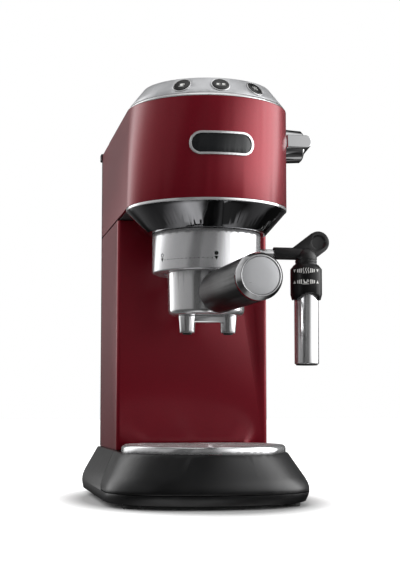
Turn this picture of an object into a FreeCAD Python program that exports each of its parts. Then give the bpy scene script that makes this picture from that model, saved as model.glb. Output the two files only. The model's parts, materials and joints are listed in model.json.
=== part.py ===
"""Slim pump espresso machine, as a parametric document.

Frame: +X is the user's right at the front, +Y runs back, +Z is up, in millimetres.
The origin lies on the table, midway between the four feet; the column's front face is y = 0.
"""
import FreeCAD, Part
import math
import os

import Sketcher
from FreeCAD import Placement, Rotation, Vector

DIMENSIONS = {
    # housing shells
    "body_width": 119.0, "shell_rear": 108.5, "shell_wall": 2.0, "column_corner": 3.0,
    "column_height": 177.7, "head_joint": 1.0, "head_height": 72.3, "group_reach": 55.0,
    "fit_gap": 0.3, "shaft_clearance": 0.05, "overcut": 1.0, "floor_lip": 0.2, "floor_thickness": 3.0,
    # base
    "foot_height": 3.0, "crease_height": 13.0, "crease_rise": 7.0, "crease_drop": 6.0, "base_top": 37.5,
    "base_wall": 3.0, "deck_thickness": 4.0,
    "bottom_half": 73.6, "bottom_front": 110.5, "bottom_bow": 110.0, "bottom_corner": 56.0,
    "bottom_rear": 121.0, "crease_half": 75.8, "crease_front": 116.8, "crease_bow": 160.0,
    "crease_corner": 54.0, "crease_rear": 121.5, "rim_half": 61.8, "rim_front": 105.0, "rim_bow": 66.0,
    "rim_corner": 60.0, "rim_rear": 120.5,
    "rear_corner": 12.0, "plate_thickness": 2.0,
    "foot_radius": 6.5, "foot_x": 57.5, "foot_y": 78.0, "peg_radius": 2.9, "peg_length": 3.5,
    "boss_radius": 4.0, "boss_x": 46.0, "boss_front": 14.0, "boss_rear": 104.0,
    "screw_radius": 1.6, "screw_head_radius": 3.2, "screw_head_height": 1.4, "screw_length": 18.0,
    "works_opening_half": 36.0, "works_opening_front": 8.0, "works_opening_rear": 52.0,
    # drip tray, grid and float
    "bed_height": 10.0, "split_low": 33.6, "split_top": 2.6, "tray_gap": 0.4, "tray_wall": 2.4,
    "grid_radius": 60.6, "grid_reach": 43.5, "grid_rise": 5.8, "grid_sheet": 1.2, "grid_round": 3.0,
    "grid_rear": 1.5, "slot_width": 3.4, "slot_pitch": 8.0, "slot_first": 9.0, "slot_web": 7.0,
    "slot_margin": 12.0,
    "float_reach": 88.0, "float_stem": 5.1, "float_bulb": 9.5, "float_bulb_height": 7.5, "float_sink": 1.5,
    "float_play": 0.5,
    # main switch and mains inlet at the back
    "switch_x": 34.0, "switch_z": 24.0, "switch_length": 20.0, "switch_height": 12.0,
    "switch_frame_wall": 1.6, "rocker_tilt": 8.0, "rocker_crown": 2.2, "rocker_valley": 1.92,
    "rocker_play": 0.9, "gland_x": -34.0, "gland_radius": 6.0, "gland_reach": 9.0,
    "gland_bore": 3.4,
    # column inside
    "frame_front": 60.0, "frame_thickness": 2.5, "frame_drop": 4.9, "frame_foot": 6.0,
    "pump_x": -20.0, "pump_y": 30.0, "pump_radius": 18.0, "pump_rise": 16.5, "pump_height": 44.0,
    "pump_nozzle": 3.0, "pump_head_radius": 9.0, "pump_head_height": 18.0, "nozzle_length": 8.0,
    "mount_radius": 21.5, "mount_height": 7.0, "mount_inset": 2.0, "mount_lip": 2.0, "bracket_sheet": 2.0,
    "bracket_half": 25.0, "bracket_trim": 3.0, "bracket_low": 4.0, "bracket_high": 2.0, "suction_run": 30.0,
    "tube_radius": 3.6, "tube_bend": 9.0, "tube_drop": 23.5, "tube_rise": 14.0,
    "board_left": 8.0, "board_width": 44.0, "board_rise": 32.5, "board_height": 70.0, "board_sheet": 1.6,
    "board_standoff": 6.0, "board_margin": 4.0, "board_post": 2.5, "relay_width": 16.0, "relay_height": 24.0,
    "relay_depth": 14.0, "relay_inset": 6.0, "terminal_height": 10.0, "terminal_depth": 9.0,
    "capacitor_radius": 7.0, "capacitor_depth": 18.0, "capacitor_inset": 12.0,
    # heater
    "heater_half": 36.0, "heater_front": 80.0, "heater_rear": 4.0, "heater_rise": 10.0, "heater_height": 36.0,
    "heater_corner": 6.0, "thermostat_radius": 8.0, "thermostat_height": 7.0, "thermostat_x": 18.0,
    "thermostat_shift": 8.0, "thermostat_step": 12.0, "thermostat_back": 20.0,
    # brewing group, measured down from the head's floor
    "cone_inset": 0.2, "cone_lip": 1.2, "cone_shoulder_step": 2.0, "cone_shoulder_drop": 3.8,
    "cone_bottom_radius": 44.4, "cone_drop": 18.4, "cone_wall": 1.8,
    "collar_radius": 39.9, "collar_gap": 0.2, "collar_height": 29.2, "collar_bore": 35.8,
    "ledge_bore": 31.3, "ledge_height": 4.1, "collar_round": 1.2,
    "lug_radius": 35.2, "lug_angle": 26.0, "lug_play": 5.0, "lug_rise": 4.7, "lug_height": 4.0,
    "turn_angle": 60.0,
    "group_flange_drop": 11.1, "group_hub_radius": 25.2, "group_hub_drop": 3.3, "neck_radius": 20.0,
    "neck_play": 1.0, "water_bore": 2.0, "seal_inner": 25.6, "seal_outer": 33.4, "seal_height": 5.3,
    "seal_chamfer": 1.0,
    "screen_radius": 25.0, "screen_height": 1.4, "screen_sheet": 0.8, "screen_hole": 0.9,
    "screen_ring": 15.0, "screen_screw_head": 3.5, "screen_screw_rise": 0.9,
    # portafilter, measured down from the seal
    "holder_radius": 28.8, "holder_bottom_radius": 28.0, "holder_base": 12.8, "holder_round": 4.0,
    "holder_rim_radius": 30.8, "holder_rim_height": 10.1, "seal_gap": 0.7, "holder_bore": 27.4,
    "holder_depth": 29.5, "holder_outlet": 4.0,
    "basket_radius": 27.1, "basket_flange": 30.2, "basket_sheet": 0.8, "basket_rise": 2.0,
    "basket_round": 3.0,
    "spout_x": 15.2, "spout_top_radius": 6.5, "spout_tip_radius": 5.5, "spout_drop": 12.7,
    "spout_bore": 3.6, "spout_forward": 5.0, "spout_bar": 4.6, "spout_bar_height": 5.0,
    "spout_hub_margin": 2.0, "spout_roof": 2.0, "plug_height": 5.0,
    "handle_rise": 14.2, "handle_turn": 1.45, "handle_radius": 15.1, "handle_start": 42.4,
    "handle_round": 3.0,
    "handle_reach": 155.6, "handle_cap_length": 8.0, "handle_cap_face": 12.0, "handle_cap_band": 0.8,
    "handle_cap_lip": 1.1, "handle_cap_sink": 0.4, "handle_neck": 10.5,
    "handle_rod": 5.0, "handle_rod_end": 82.0, "rod_end_play": 1.0, "holder_skin": 0.5, "holder_step": 1.0,
    "handle_gap": 0.2,
    # control panel and top, measured up from the head
    "trim_gap": 0.2, "trim_height": 2.2, "trim_inset": 1.6, "panel_gap": 0.1, "panel_height": 13.3,
    "panel_inset": 10.5,
    "panel_wall": 2.2, "panel_rear": 62.0, "plate_rail_height": 1.2, "plate_rail_inset": 6.0,
    "plate_rail_width": 2.0, "plate_sheet": 1.4, "plate_sink": 0.3,
    "button_rise": 6.9, "button_angle": 30.4, "button_radius": 6.0, "button_proud": 0.7, "button_depth": 5.2,
    "button_flange": 6.8, "button_stem": 1.8, "button_gap": 0.2, "button_travel": 1.0, "button_ease": 0.5,
    "bezel_outer": 6.95, "bezel_lip": 0.15, "bezel_proud": 0.45, "bezel_depth": 3.6, "bezel_seat": 0.2,
    "bezel_chamfer": 0.25,
    "switch_board_depth": 10.0, "switch_board_half": 6.5, "switch_board_angle": 104.0, "tact_radius": 3.2,
    "tact_height": 2.6, "board_pillar": 2.0,
    # badge
    "badge_width": 46.5, "badge_height": 16.7, "badge_rise": 38.4, "badge_rim": 1.6, "badge_rim_proud": 1.4,
    "badge_plate_proud": 0.9,
    # steam knob and valve
    "knob_y": -42.0, "knob_rise": 53.2, "knob_radius": 13.1, "knob_end_radius": 12.2, "knob_length": 16.4,
    "knob_gap": 1.0, "knob_round": 1.6, "knob_bar_thickness": 10.4, "knob_bar_proud": 4.8,
    "knob_bar_half": 11.8, "knob_bar_tilt": 7.5, "knob_bar_root": 2.0, "knob_bar_margin": 0.2,
    "spindle_radius": 2.5, "spindle_depth": 13.0, "spindle_start": 6.0, "spindle_end_play": 0.2,
    "valve_length": 24.0, "valve_half": 7.2, "valve_inset": 3.5, "valve_leg": 12.0, "stem_inset": 1.0,
    # steam wand, measured down from the column's top and the wand's own axis
    "wand_x": 85.6, "wand_y": -22.0, "wand_drop": 25.9, "bush_x": 40.0, "pipe_radius": 3.0, "pipe_bore": 1.6,
    "pipe_bend": 7.0, "pipe_tail": 8.0, "pipe_end": 76.0, "bush_flange": 7.5, "bush_flange_thickness": 3.0,
    "bush_radius": 5.8, "bush_depth": 10.0, "bush_chamfer": 1.0, "pipe_slack": 0.6,
    "steam_pipe_shift": 2.0, "steam_pipe_back": 12.0, "steam_pipe_jog": 20.0, "steam_pipe_reach": 14.0,
    "steam_pipe_sink": 2.0,
    "grip_radius": 4.8, "grip_start": 59.7, "elbow_radius": 8.5, "elbow_drop": 3.7, "elbow_height": 10.6,
    "neck_groove": 0.7, "groove_start": 1.2, "groove_width": 0.8, "groove_pitch": 2.0,
    "tab_angle": 37.5, "tab_x": 9.5, "tab_z": 9.2, "tab_half": 8.65, "tab_tail": 19.0, "tab_thickness": 5.0,
    "dimple_radius": 6.0, "dimple_depth": 1.3,
    "core_drop": 7.3, "core_length": 70.0, "core_collar": 8.2, "core_collar_drop": 18.0,
    "core_collar_height": 5.0, "core_tip_inset": 0.8, "core_tip_bulge": 1.0, "core_tip_low": 4.0,
    "core_tip_high": 10.0, "core_tip_end": 12.0,
    "ring_radius": 12.3, "ring_drop": 8.7, "ring_height": 27.2, "ring_bore": 8.95, "ring_shoulder": 3.4,
    "ring_foot_radius": 11.2, "ring_foot_height": 4.0, "ring_top_lip": 0.6, "ring_seat_rise": 6.6,
    "ring_arch": 11.0, "ring_arch_rise": 5.0,
    "sleeve_radius": 9.45, "sleeve_wall": 1.0, "sleeve_reach": 49.8, "sleeve_round": 0.8,
    # water tank, set between the frame and the shells' rear edges
    "tank_clearance": 2.5, "tank_overhang": 12.5, "tank_lift": 0.5, "tank_drop": 4.5, "tank_wall": 2.2,
    "tank_corner": 9.0, "tank_step": 0.5, "lid_thickness": 5.0, "lid_overhang": 1.0,
    "lid_pin_back": 3.2, "lid_pin_rise": 2.9, "lid_pin_radius": 1.2, "lid_back": 5.4, "ear_x": 43.0,
    "ear_half": 2.0, "ear_margin": 1.0, "ear_drop": 8.0, "ear_play": 0.4, "lid_pin_half": 6.0,
    "pin_end_play": 0.2, "notch_depth": 4.0, "scoop_floor_radius": 9.0, "scoop_radius": 11.0,
    "scoop_depth": 1.5, "scoop_back": 14.0, "tank_valve_y": 90.0, "valve_radius": 7.5, "valve_lip": 1.5,
    "valve_head": 4.0, "valve_neck_drop": 1.0, "valve_tip_radius": 5.0, "valve_reach": 5.0,
    "seat_radius": 10.0, "seat_depth": 10.0, "seat_gap": 0.45,
}


class Size:
    """A length or an angle: its value, and the expression that ties it to the sheet."""

    def __init__(self, value, text):
        self.value = value
        self.text = text

    def __add__(self, other):
        other = as_size(other)
        return Size(self.value + other.value, f"({self.text} + {other.text})")

    def __sub__(self, other):
        other = as_size(other)
        return Size(self.value - other.value, f"({self.text} - {other.text})")

    def __mul__(self, other):
        other = as_size(other)
        return Size(self.value * other.value, f"({self.text} * {other.text})")

    def __truediv__(self, other):
        other = as_size(other)
        return Size(self.value / other.value, f"({self.text} / {other.text})")

    def __neg__(self):
        return Size(-self.value, f"(0 - {self.text})")

    def __rsub__(self, other):
        return as_size(other) - self

    __radd__ = __add__
    __rmul__ = __mul__


def as_size(number):
    return number if isinstance(number, Size) else Size(float(number), repr(float(number)))


def root(size):
    return Size(math.sqrt(size.value), f"sqrt({size.text})")


def sine(angle):
    return Size(math.sin(math.radians(angle.value)), f"sin({angle.text} * 1 deg)")


def cosine(angle):
    return Size(math.cos(math.radians(angle.value)), f"cos({angle.text} * 1 deg)")


class Sheet:
    """The driving dimensions, each read as sheet.name."""

    def __init__(self, document, dimensions):
        cells = document.addObject("Spreadsheet::Sheet", "Dims")
        for row, (name, value) in enumerate(dimensions.items(), start=1):
            cells.set(f"A{row}", name)
            cells.set(f"B{row}", str(value))
            cells.setAlias(f"B{row}", name)
            setattr(self, name, Size(value, "Dims." + name))


def stack_housing(dim):
    """Heights of the shells, the panel and the works, each from the piece it stands on."""
    dim.column_top = dim.base_top + dim.column_height
    dim.head_bottom = dim.column_top + dim.head_joint
    dim.head_top = dim.head_bottom + dim.head_height
    dim.floor_bottom = dim.head_bottom - dim.floor_lip
    dim.frame_top = dim.head_top - dim.frame_drop
    dim.trim_bottom = dim.head_top + dim.trim_gap
    dim.trim_top = dim.trim_bottom + dim.trim_height
    dim.panel_bottom = dim.trim_top + dim.panel_gap
    dim.panel_top = dim.panel_bottom + dim.panel_height
    dim.button_z = dim.panel_bottom + dim.button_rise
    dim.badge_z = dim.head_bottom + dim.badge_rise
    dim.grid_top = dim.base_top + dim.grid_rise
    dim.pump_bottom = dim.base_top + dim.pump_rise
    dim.tube_low = dim.base_top - dim.tube_drop
    dim.board_low = dim.base_top + dim.board_rise
    dim.board_high = dim.board_low + dim.board_height
    dim.board_right = dim.board_left + dim.board_width
    dim.heater_bottom = dim.floor_bottom + dim.heater_rise
    dim.heater_top = dim.heater_bottom + dim.heater_height
    dim.tube_high = dim.heater_bottom + dim.tube_rise


def stack_group(dim):
    """Heights of the brewing group and the portafilter, down from the head's floor."""
    dim.cone_top_radius = dim.body_width / 2 - dim.cone_inset
    dim.cone_shoulder_radius = dim.cone_top_radius - dim.cone_shoulder_step
    dim.cone_shoulder = dim.floor_bottom - dim.cone_shoulder_drop
    dim.cone_bottom = dim.floor_bottom - dim.cone_drop
    dim.collar_top = dim.cone_bottom - dim.collar_gap
    dim.collar_bottom = dim.collar_top - dim.collar_height
    dim.lug_bottom = dim.collar_bottom + dim.lug_rise
    dim.group_flange_bottom = dim.collar_top - dim.group_flange_drop
    dim.group_hub_bottom = dim.group_flange_bottom - dim.group_hub_drop
    dim.seal_bottom = dim.group_flange_bottom - dim.seal_height
    dim.screen_bottom = dim.group_hub_bottom - dim.screen_height
    dim.holder_top = dim.seal_bottom - dim.seal_gap - dim.basket_sheet
    dim.holder_rim_bottom = dim.holder_top - dim.holder_rim_height
    dim.holder_floor = dim.holder_top - dim.holder_depth
    dim.holder_bottom = dim.holder_floor - dim.holder_base
    dim.basket_bottom = dim.holder_floor + dim.basket_rise
    dim.spout_tip = dim.holder_bottom - dim.spout_drop
    dim.handle_z = dim.holder_bottom + dim.handle_rise


def stack_sides(dim):
    """Heights of the steam parts, and the places of the tank and its lid."""
    dim.knob_z = dim.head_bottom + dim.knob_rise
    dim.valve_right = dim.body_width / 2 - dim.valve_inset
    dim.wand_z = dim.column_top - dim.wand_drop
    dim.elbow_centre = dim.wand_z - dim.elbow_drop
    dim.elbow_bottom = dim.elbow_centre - dim.elbow_height
    dim.core_top = dim.wand_z - dim.core_drop
    dim.core_bottom = dim.core_top - dim.core_length
    dim.core_collar_bottom = dim.core_top - dim.core_collar_drop
    dim.ring_top = dim.wand_z - dim.ring_drop
    dim.ring_bottom = dim.ring_top - dim.ring_height
    dim.ring_seat = dim.ring_bottom + dim.ring_seat_rise
    dim.ring_arch_top = dim.ring_bottom + dim.ring_arch_rise
    dim.sleeve_bottom = dim.ring_bottom - dim.sleeve_reach
    dim.tank_front = dim.frame_front + dim.frame_thickness + dim.tank_clearance
    dim.tank_rear = dim.shell_rear + dim.tank_overhang
    dim.tank_waist = dim.shell_rear + dim.tank_step
    dim.tank_bottom = dim.base_top + dim.tank_lift
    dim.tank_top = dim.head_top - dim.tank_drop
    dim.lid_pin_y = dim.tank_rear + dim.lid_pin_back
    dim.lid_pin_z = dim.tank_top + dim.lid_pin_rise
    dim.lid_rear = dim.tank_rear + dim.lid_back
    dim.valve_top = dim.tank_bottom + dim.valve_head
    dim.valve_tip = dim.tank_bottom - dim.valve_reach
    dim.seat_bottom = dim.tank_bottom - dim.seat_depth


doc = FreeCAD.newDocument("EspressoMachine")
dim = Sheet(doc, DIMENSIONS)
for stack in (stack_housing, stack_group, stack_sides):
    stack(dim)
doc.recompute()

HALF = dim.body_width / 2
PANEL_HALF = HALF - dim.trim_inset
AXIS_Y = -dim.group_reach
ALONG_X = Rotation(Vector(0, 1, 0), 90)
ALONG_Y = Rotation(Vector(1, 0, 0), -90)
UPRIGHT = Rotation()
FACING_FRONT = Rotation(Vector(0, 0, 1), -90)
HANDLE_TURN = Rotation(Vector(0, 0, 1), dim.handle_turn.value) * Rotation(Vector(1, 0, 0), 90)
FAR = as_size(400)
CREASE_STEPS = 4
SLOT_ROWS = 9
# Each ring of holes in the shower screen: its share of the middle ring's radius, and its number of holes.
SCREEN_RINGS = ((0.6, 10), (1.0, 16), (1.4, 24))


# ---------------------------------------------------------------- building blocks


def new(kind, label):
    made = doc.addObject(kind, label)
    made.Label = label
    return made


def place(item, at, turn=UPRIGHT):
    item.Placement = Placement(Vector(*(as_size(part).value for part in at)), turn)
    for axis, part in zip("xyz", at):
        item.setExpression("Placement.Base." + axis, as_size(part).text)
    return item


def box(label, x, y, z):
    """A block between the low and high limits given for each axis."""
    made = new("Part::Box", label)
    for side, (low, high) in zip(("Length", "Width", "Height"), (x, y, z)):
        made.setExpression(side, (as_size(high) - low).text)
    return place(made, (x[0], y[0], z[0]))


def cone(label, radii, span, centre, along="z", angle=None):
    """A cone or cylinder over span, centred on the other two coordinates."""
    straight = len(radii) == 1
    made = new("Part::Cylinder" if straight else "Part::Cone", label)
    for name, radius in zip(("Radius",) if straight else ("Radius1", "Radius2"), radii):
        made.setExpression(name, as_size(radius).text)
    made.setExpression("Height", (as_size(span[1]) - span[0]).text)
    if angle is not None:
        made.setExpression("Angle", as_size(angle).text)
    first, second = centre
    if along == "x":
        return place(made, (span[0], first, second), ALONG_X)
    if along == "y":
        return place(made, (first, span[0], second), ALONG_Y)
    return place(made, (first, second, span[0]))


def fuse(label, *items):
    made = new("Part::MultiFuse", label)
    made.Shapes = list(items)
    return made


def group(label, *items):
    made = new("Part::Compound", label)
    made.Links = list(items)
    return made


def common(label, *items):
    made = new("Part::MultiCommon", label)
    made.Shapes = list(items)
    return made


def cut(label, base, *tools):
    made = new("Part::Cut", label)
    made.Base = base
    made.Tool = tools[0] if len(tools) == 1 else fuse(label + "_tools", *tools)
    return made


def arc_centre(start, end, radius):
    """Centre of the arc from start to end: left of the way for a positive radius, right for a negative."""
    chord = end - start
    rise = math.sqrt(max(radius * radius - chord.Length ** 2 / 4, 0))
    left = Vector(-chord.y, chord.x, 0).normalize()
    return (start + end) * 0.5 + left * math.copysign(rise, radius)


def add_segment(sketch, start, end, radius):
    """Adds a line or arc; returns its index and which of its ends are its start and its end."""
    if radius is None:
        return sketch.addGeometry(Part.LineSegment(start, end), False), 1, 2
    centre = arc_centre(start, end, radius.value)
    circle = Part.Circle(centre, Vector(0, 0, 1), abs(radius.value))
    turns_left = radius.value > 0
    first, last = (start, end) if turns_left else (end, start)
    angles = [math.atan2((point - centre).y, (point - centre).x) for point in (first, last)]
    index = sketch.addGeometry(Part.ArcOfCircle(circle, angles[0], angles[1]), False)
    constraint = sketch.addConstraint(Sketcher.Constraint("Radius", index, abs(radius.value)))
    sketch.setExpression(f"Constraints[{constraint}]", (radius if turns_left else -radius).text)
    return (index, 1, 2) if turns_left else (index, 2, 1)


def pin_point(sketch, geometry, end, kind, size):
    if size.value == 0:
        axis = -2 if kind == "DistanceX" else -1
        sketch.addConstraint(Sketcher.Constraint("PointOnObject", geometry, end, axis))
        return
    constraint = sketch.addConstraint(Sketcher.Constraint(kind, -1, 1, geometry, end, size.value))
    sketch.setExpression(f"Constraints[{constraint}]", size.text)


def outline(body, role, path, height=None):
    """A closed sketch. A path entry is (x, y), or (x, y, radius) where an arc leads to it."""
    sketch = body.newObject("Sketcher::SketchObject", body.Name + "_sketch")
    plane = [feature for feature in body.Origin.OriginFeatures if feature.Role == role][0]
    sketch.AttachmentSupport = [(plane, "")]
    sketch.MapMode = "FlatFace"
    if height is not None:
        sketch.setExpression("AttachmentOffset.Base.z", as_size(height).text)
    path = [(as_size(entry[0]), as_size(entry[1]), entry[2] if len(entry) > 2 else None) for entry in path]
    spots = [Vector(x.value, y.value, 0) for x, y, _ in path]
    count = len(path)
    made = []
    for number in range(count):
        following = (number + 1) % count
        made.append(add_segment(sketch, spots[number], spots[following], path[following][2]))
    for number in range(count):
        segment, _, tail = made[number]
        following, head, _ = made[(number + 1) % count]
        sketch.addConstraint(Sketcher.Constraint("Coincident", segment, tail, following, head))
    for number in range(count):
        segment, head, _ = made[number]
        pin_point(sketch, segment, head, "DistanceX", path[number][0])
        pin_point(sketch, segment, head, "DistanceY", path[number][1])
    return sketch


def padded(label, role, path, span, at=(0, 0, 0), turn=UPRIGHT):
    """A body padded from an outline, over span along its plane's normal."""
    body = new("PartDesign::Body", label)
    low, high = as_size(span[0]), as_size(span[1])
    sketch = outline(body, role, path, low)
    pad = body.newObject("PartDesign::Pad", label + "_pad")
    pad.Profile = sketch
    pad.setExpression("Length", (high - low).text)
    return place(body, at, turn)


def turned(label, path, at=(0, 0, 0), turn=UPRIGHT, angle=None):
    """A body turned about its own Z from a path of (radius, height) points."""
    body = new("PartDesign::Body", label)
    sketch = outline(body, "XZ_Plane", path)
    revolution = body.newObject("PartDesign::Revolution", label + "_turn")
    revolution.Profile = sketch
    revolution.ReferenceAxis = (sketch, ["V_Axis"])
    if angle is None:
        revolution.Angle = 360
    else:
        revolution.setExpression("Angle", angle.text)
        revolution.Midplane = True
    return place(body, at, turn)


def lofted(label, sections):
    """A body with flat-ruled sides through outlines, given as (height, path)."""
    body = new("PartDesign::Body", label)
    sketches = [outline(body, "XY_Plane", path, height) for height, path in sections]
    loft = body.newObject("PartDesign::AdditiveLoft", label + "_loft")
    loft.Profile = sketches[0]
    loft.Sections = sketches[1:]
    loft.Ruled = True
    return body


def tube(label, radius, bend, route):
    """A round tube along straight runs joined by tangent arcs of the radius bend."""
    spots = [Vector(*(as_size(part).value for part in spot)) for spot in route]
    edges = []
    start = spots[0]
    for before, corner, after in zip(spots, spots[1:], spots[2:]):
        into = (corner - before).normalize()
        out = (after - corner).normalize()
        setback = bend.value * math.tan(into.getAngle(out) / 2)
        first, last = corner - into * setback, corner + out * setback
        middle = corner + (out - into).normalize() * (setback / math.sin(into.getAngle(out) / 2) - bend.value)
        edges += [Part.makeLine(start, first), Part.Arc(first, middle, last).toShape()]
        start = last
    edges.append(Part.makeLine(start, spots[-1]))
    section = Part.Wire(Part.makeCircle(radius.value, spots[0], spots[1] - spots[0]))
    made = new("Part::Feature", label)
    made.Shape = Part.Wire(edges).makePipeShell([section], True, False)
    return made


# ---------------------------------------------------------------- outlines


def base_outline(half, front, bow, corner, rear, rear_corner):
    """A bowed front with tangent corner arcs, straight sides and a square back with round corners."""
    bow_centre = bow - front
    across = half - corner
    drop = root((bow - corner) * (bow - corner) - across * across)
    corner_y = bow_centre - drop
    joint_x = across * bow / (bow - corner)
    joint_y = bow_centre - drop * bow / (bow - corner)
    return [(-joint_x, joint_y, corner), (joint_x, joint_y, bow), (half, corner_y, corner),
            (half, rear - rear_corner), (half - rear_corner, rear, rear_corner),
            (rear_corner - half, rear), (-half, rear - rear_corner, rear_corner), (-half, corner_y)]


def base_section(inset, rim=0, bottom=0):
    """The base's outline at its crease, moved by a share towards its rim or its bottom and drawn in."""
    levels = zip(
        (dim.crease_half, dim.crease_front, dim.crease_bow, dim.crease_corner, dim.crease_rear),
        (dim.rim_half, dim.rim_front, dim.rim_bow, dim.rim_corner, dim.rim_rear),
        (dim.bottom_half, dim.bottom_front, dim.bottom_bow, dim.bottom_corner, dim.bottom_rear))
    sizes = [crease + (high - crease) * rim + (low - crease) * bottom - inset for crease, high, low in levels]
    return base_outline(*sizes, dim.rear_corner - inset)


def base_loft(label, inset):
    """The base's full volume, drawn in by inset, its crease rounded along a parabola."""
    low, crease, top = dim.foot_height, dim.crease_height, dim.base_top
    rise, drop = dim.crease_rise, dim.crease_drop
    sections = [(low, base_section(inset, bottom=1))]
    for step in range(CREASE_STEPS + 1):
        share = step / CREASE_STEPS
        above, below = share ** 2, (1 - share) ** 2
        sections.append((crease + rise * above - drop * below,
                         base_section(inset, rise * above / (top - crease), drop * below / (crease - low))))
    sections.append((top, base_section(inset, rim=1)))
    return lofted(label, sections)


def head_outline(half, rear):
    """A half-round front about the group's axis, with straight sides back to rear."""
    return [(-half, rear), (-half, AXIS_Y), (0, AXIS_Y - half, half), (half, AXIS_Y, half), (half, rear)]


def stadium(half_length, half_height):
    straight = half_length - half_height
    return [(-straight, -half_height, half_height), (straight, -half_height), (half_length, 0, half_height),
            (straight, half_height, half_height), (-straight, half_height), (-half_length, 0, half_height)]


def side_profile(label, path):
    """A wide prism whose section in the YZ plane is path."""
    return padded(label, "YZ_Plane", path, (-FAR / 2, FAR / 2))


# ---------------------------------------------------------------- base


def tray_region(label, gap, wall):
    """The space in front of the sloping split between tray and base, above the bed."""
    low = dim.bed_height + gap + wall
    return side_profile(label, [(-FAR / 2, low), (-(dim.split_low + gap + wall), low),
                                (-(dim.split_top + gap + wall), dim.base_top),
                                (-(dim.split_top + gap + wall), FAR / 4), (-FAR / 2, FAR / 4)])


def base_cavity():
    under_deck = dim.base_top - dim.deck_thickness
    under_bed = dim.bed_height - dim.base_wall
    profile = side_profile("cavity_profile", [
        (-FAR / 2, 0), (FAR / 2, 0), (FAR / 2, under_deck), (dim.split_top, under_deck),
        (dim.base_wall - dim.split_low, under_bed), (-FAR / 2, under_bed)])
    return common("base_cavity", base_loft("base_inner", dim.base_wall), profile)


def four(label, maker, across, front, rear):
    """One item at each corner of a rectangle, as a list."""
    spots = [(side * across, y) for side in (-1, 1) for y in (front, rear)]
    return [maker(f"{label}_{number}", x, y) for number, (x, y) in enumerate(spots)]


def boss(label, x, y):
    top = dim.base_top - dim.deck_thickness / 2
    return cone(label, (dim.boss_radius,), (dim.foot_height + dim.plate_thickness, top), (x, y))


def pilot(label, x, y):
    top = dim.foot_height + dim.screw_length + dim.overcut
    return cone(label, (dim.screw_radius + dim.shaft_clearance,), (0, top), (x, y))


def foot_hole(label, x, y):
    return cone(label, (dim.peg_radius + dim.shaft_clearance,), (0, dim.base_wall * 3), (x, y))


def foot(label, x, y):
    height = dim.foot_height
    return turned(label, [(0, 0), (dim.foot_radius, 0), (dim.foot_radius, height), (dim.peg_radius, height),
                          (dim.peg_radius, height + dim.peg_length), (0, height + dim.peg_length)], (x, y, 0))


def screw(label, x, y):
    under = dim.foot_height - dim.screw_head_height
    return turned(label, [(0, 0), (dim.screw_head_radius, 0), (dim.screw_head_radius, dim.screw_head_height),
                          (dim.screw_radius, dim.screw_head_height), (dim.screw_radius, dim.screw_length),
                          (0, dim.screw_length)], (x, y, under))


def base_parts():
    deck_hole = box("works_opening", (-dim.works_opening_half, dim.works_opening_half),
                    (dim.works_opening_front, dim.works_opening_rear), (dim.crease_height, dim.base_top * 2))
    seat_hole = cone("seat_hole", (dim.seat_radius + dim.shaft_clearance,),
                     (dim.seat_bottom, dim.base_top * 2), (0, dim.tank_valve_y))
    switch_half = dim.switch_length / 2 + dim.switch_frame_wall
    switch_rise = dim.switch_height / 2 + dim.switch_frame_wall
    switch_hole = box("switch_hole", (dim.switch_x - switch_half, dim.switch_x + switch_half),
                      (dim.boss_rear, FAR), (dim.switch_z - switch_rise, dim.switch_z + switch_rise))
    gland_hole = cone("gland_hole", (dim.gland_radius + dim.shaft_clearance,), (dim.boss_rear, FAR),
                      (dim.gland_x, dim.switch_z), "y")
    hollow = cut("base_hollow", base_loft("base_outer", as_size(0)), tray_region("tray_bay", 0, 0),
                 base_cavity())
    bosses = four("boss", boss, dim.boss_x, dim.boss_front, dim.boss_rear)
    cut("base_housing", fuse("base_with_bosses", hollow, *bosses), deck_hole, seat_hole, switch_hole,
        gland_hole, *four("pilot", pilot, dim.boss_x, dim.boss_front, dim.boss_rear))
    plate = padded("plate_blank", "XY_Plane", base_section(dim.base_wall + dim.fit_gap, bottom=1),
                   (dim.foot_height, dim.foot_height + dim.plate_thickness))
    cut("bottom_plate", plate, *four("plate_pilot", pilot, dim.boss_x, dim.boss_front, dim.boss_rear),
        *four("foot_hole", foot_hole, dim.foot_x, -dim.foot_y, dim.foot_y))
    group("feet", *four("foot", foot, dim.foot_x, -dim.foot_y, dim.foot_y))
    group("housing_screws", *four("screw", screw, dim.boss_x, dim.boss_front, dim.boss_rear))


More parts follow.
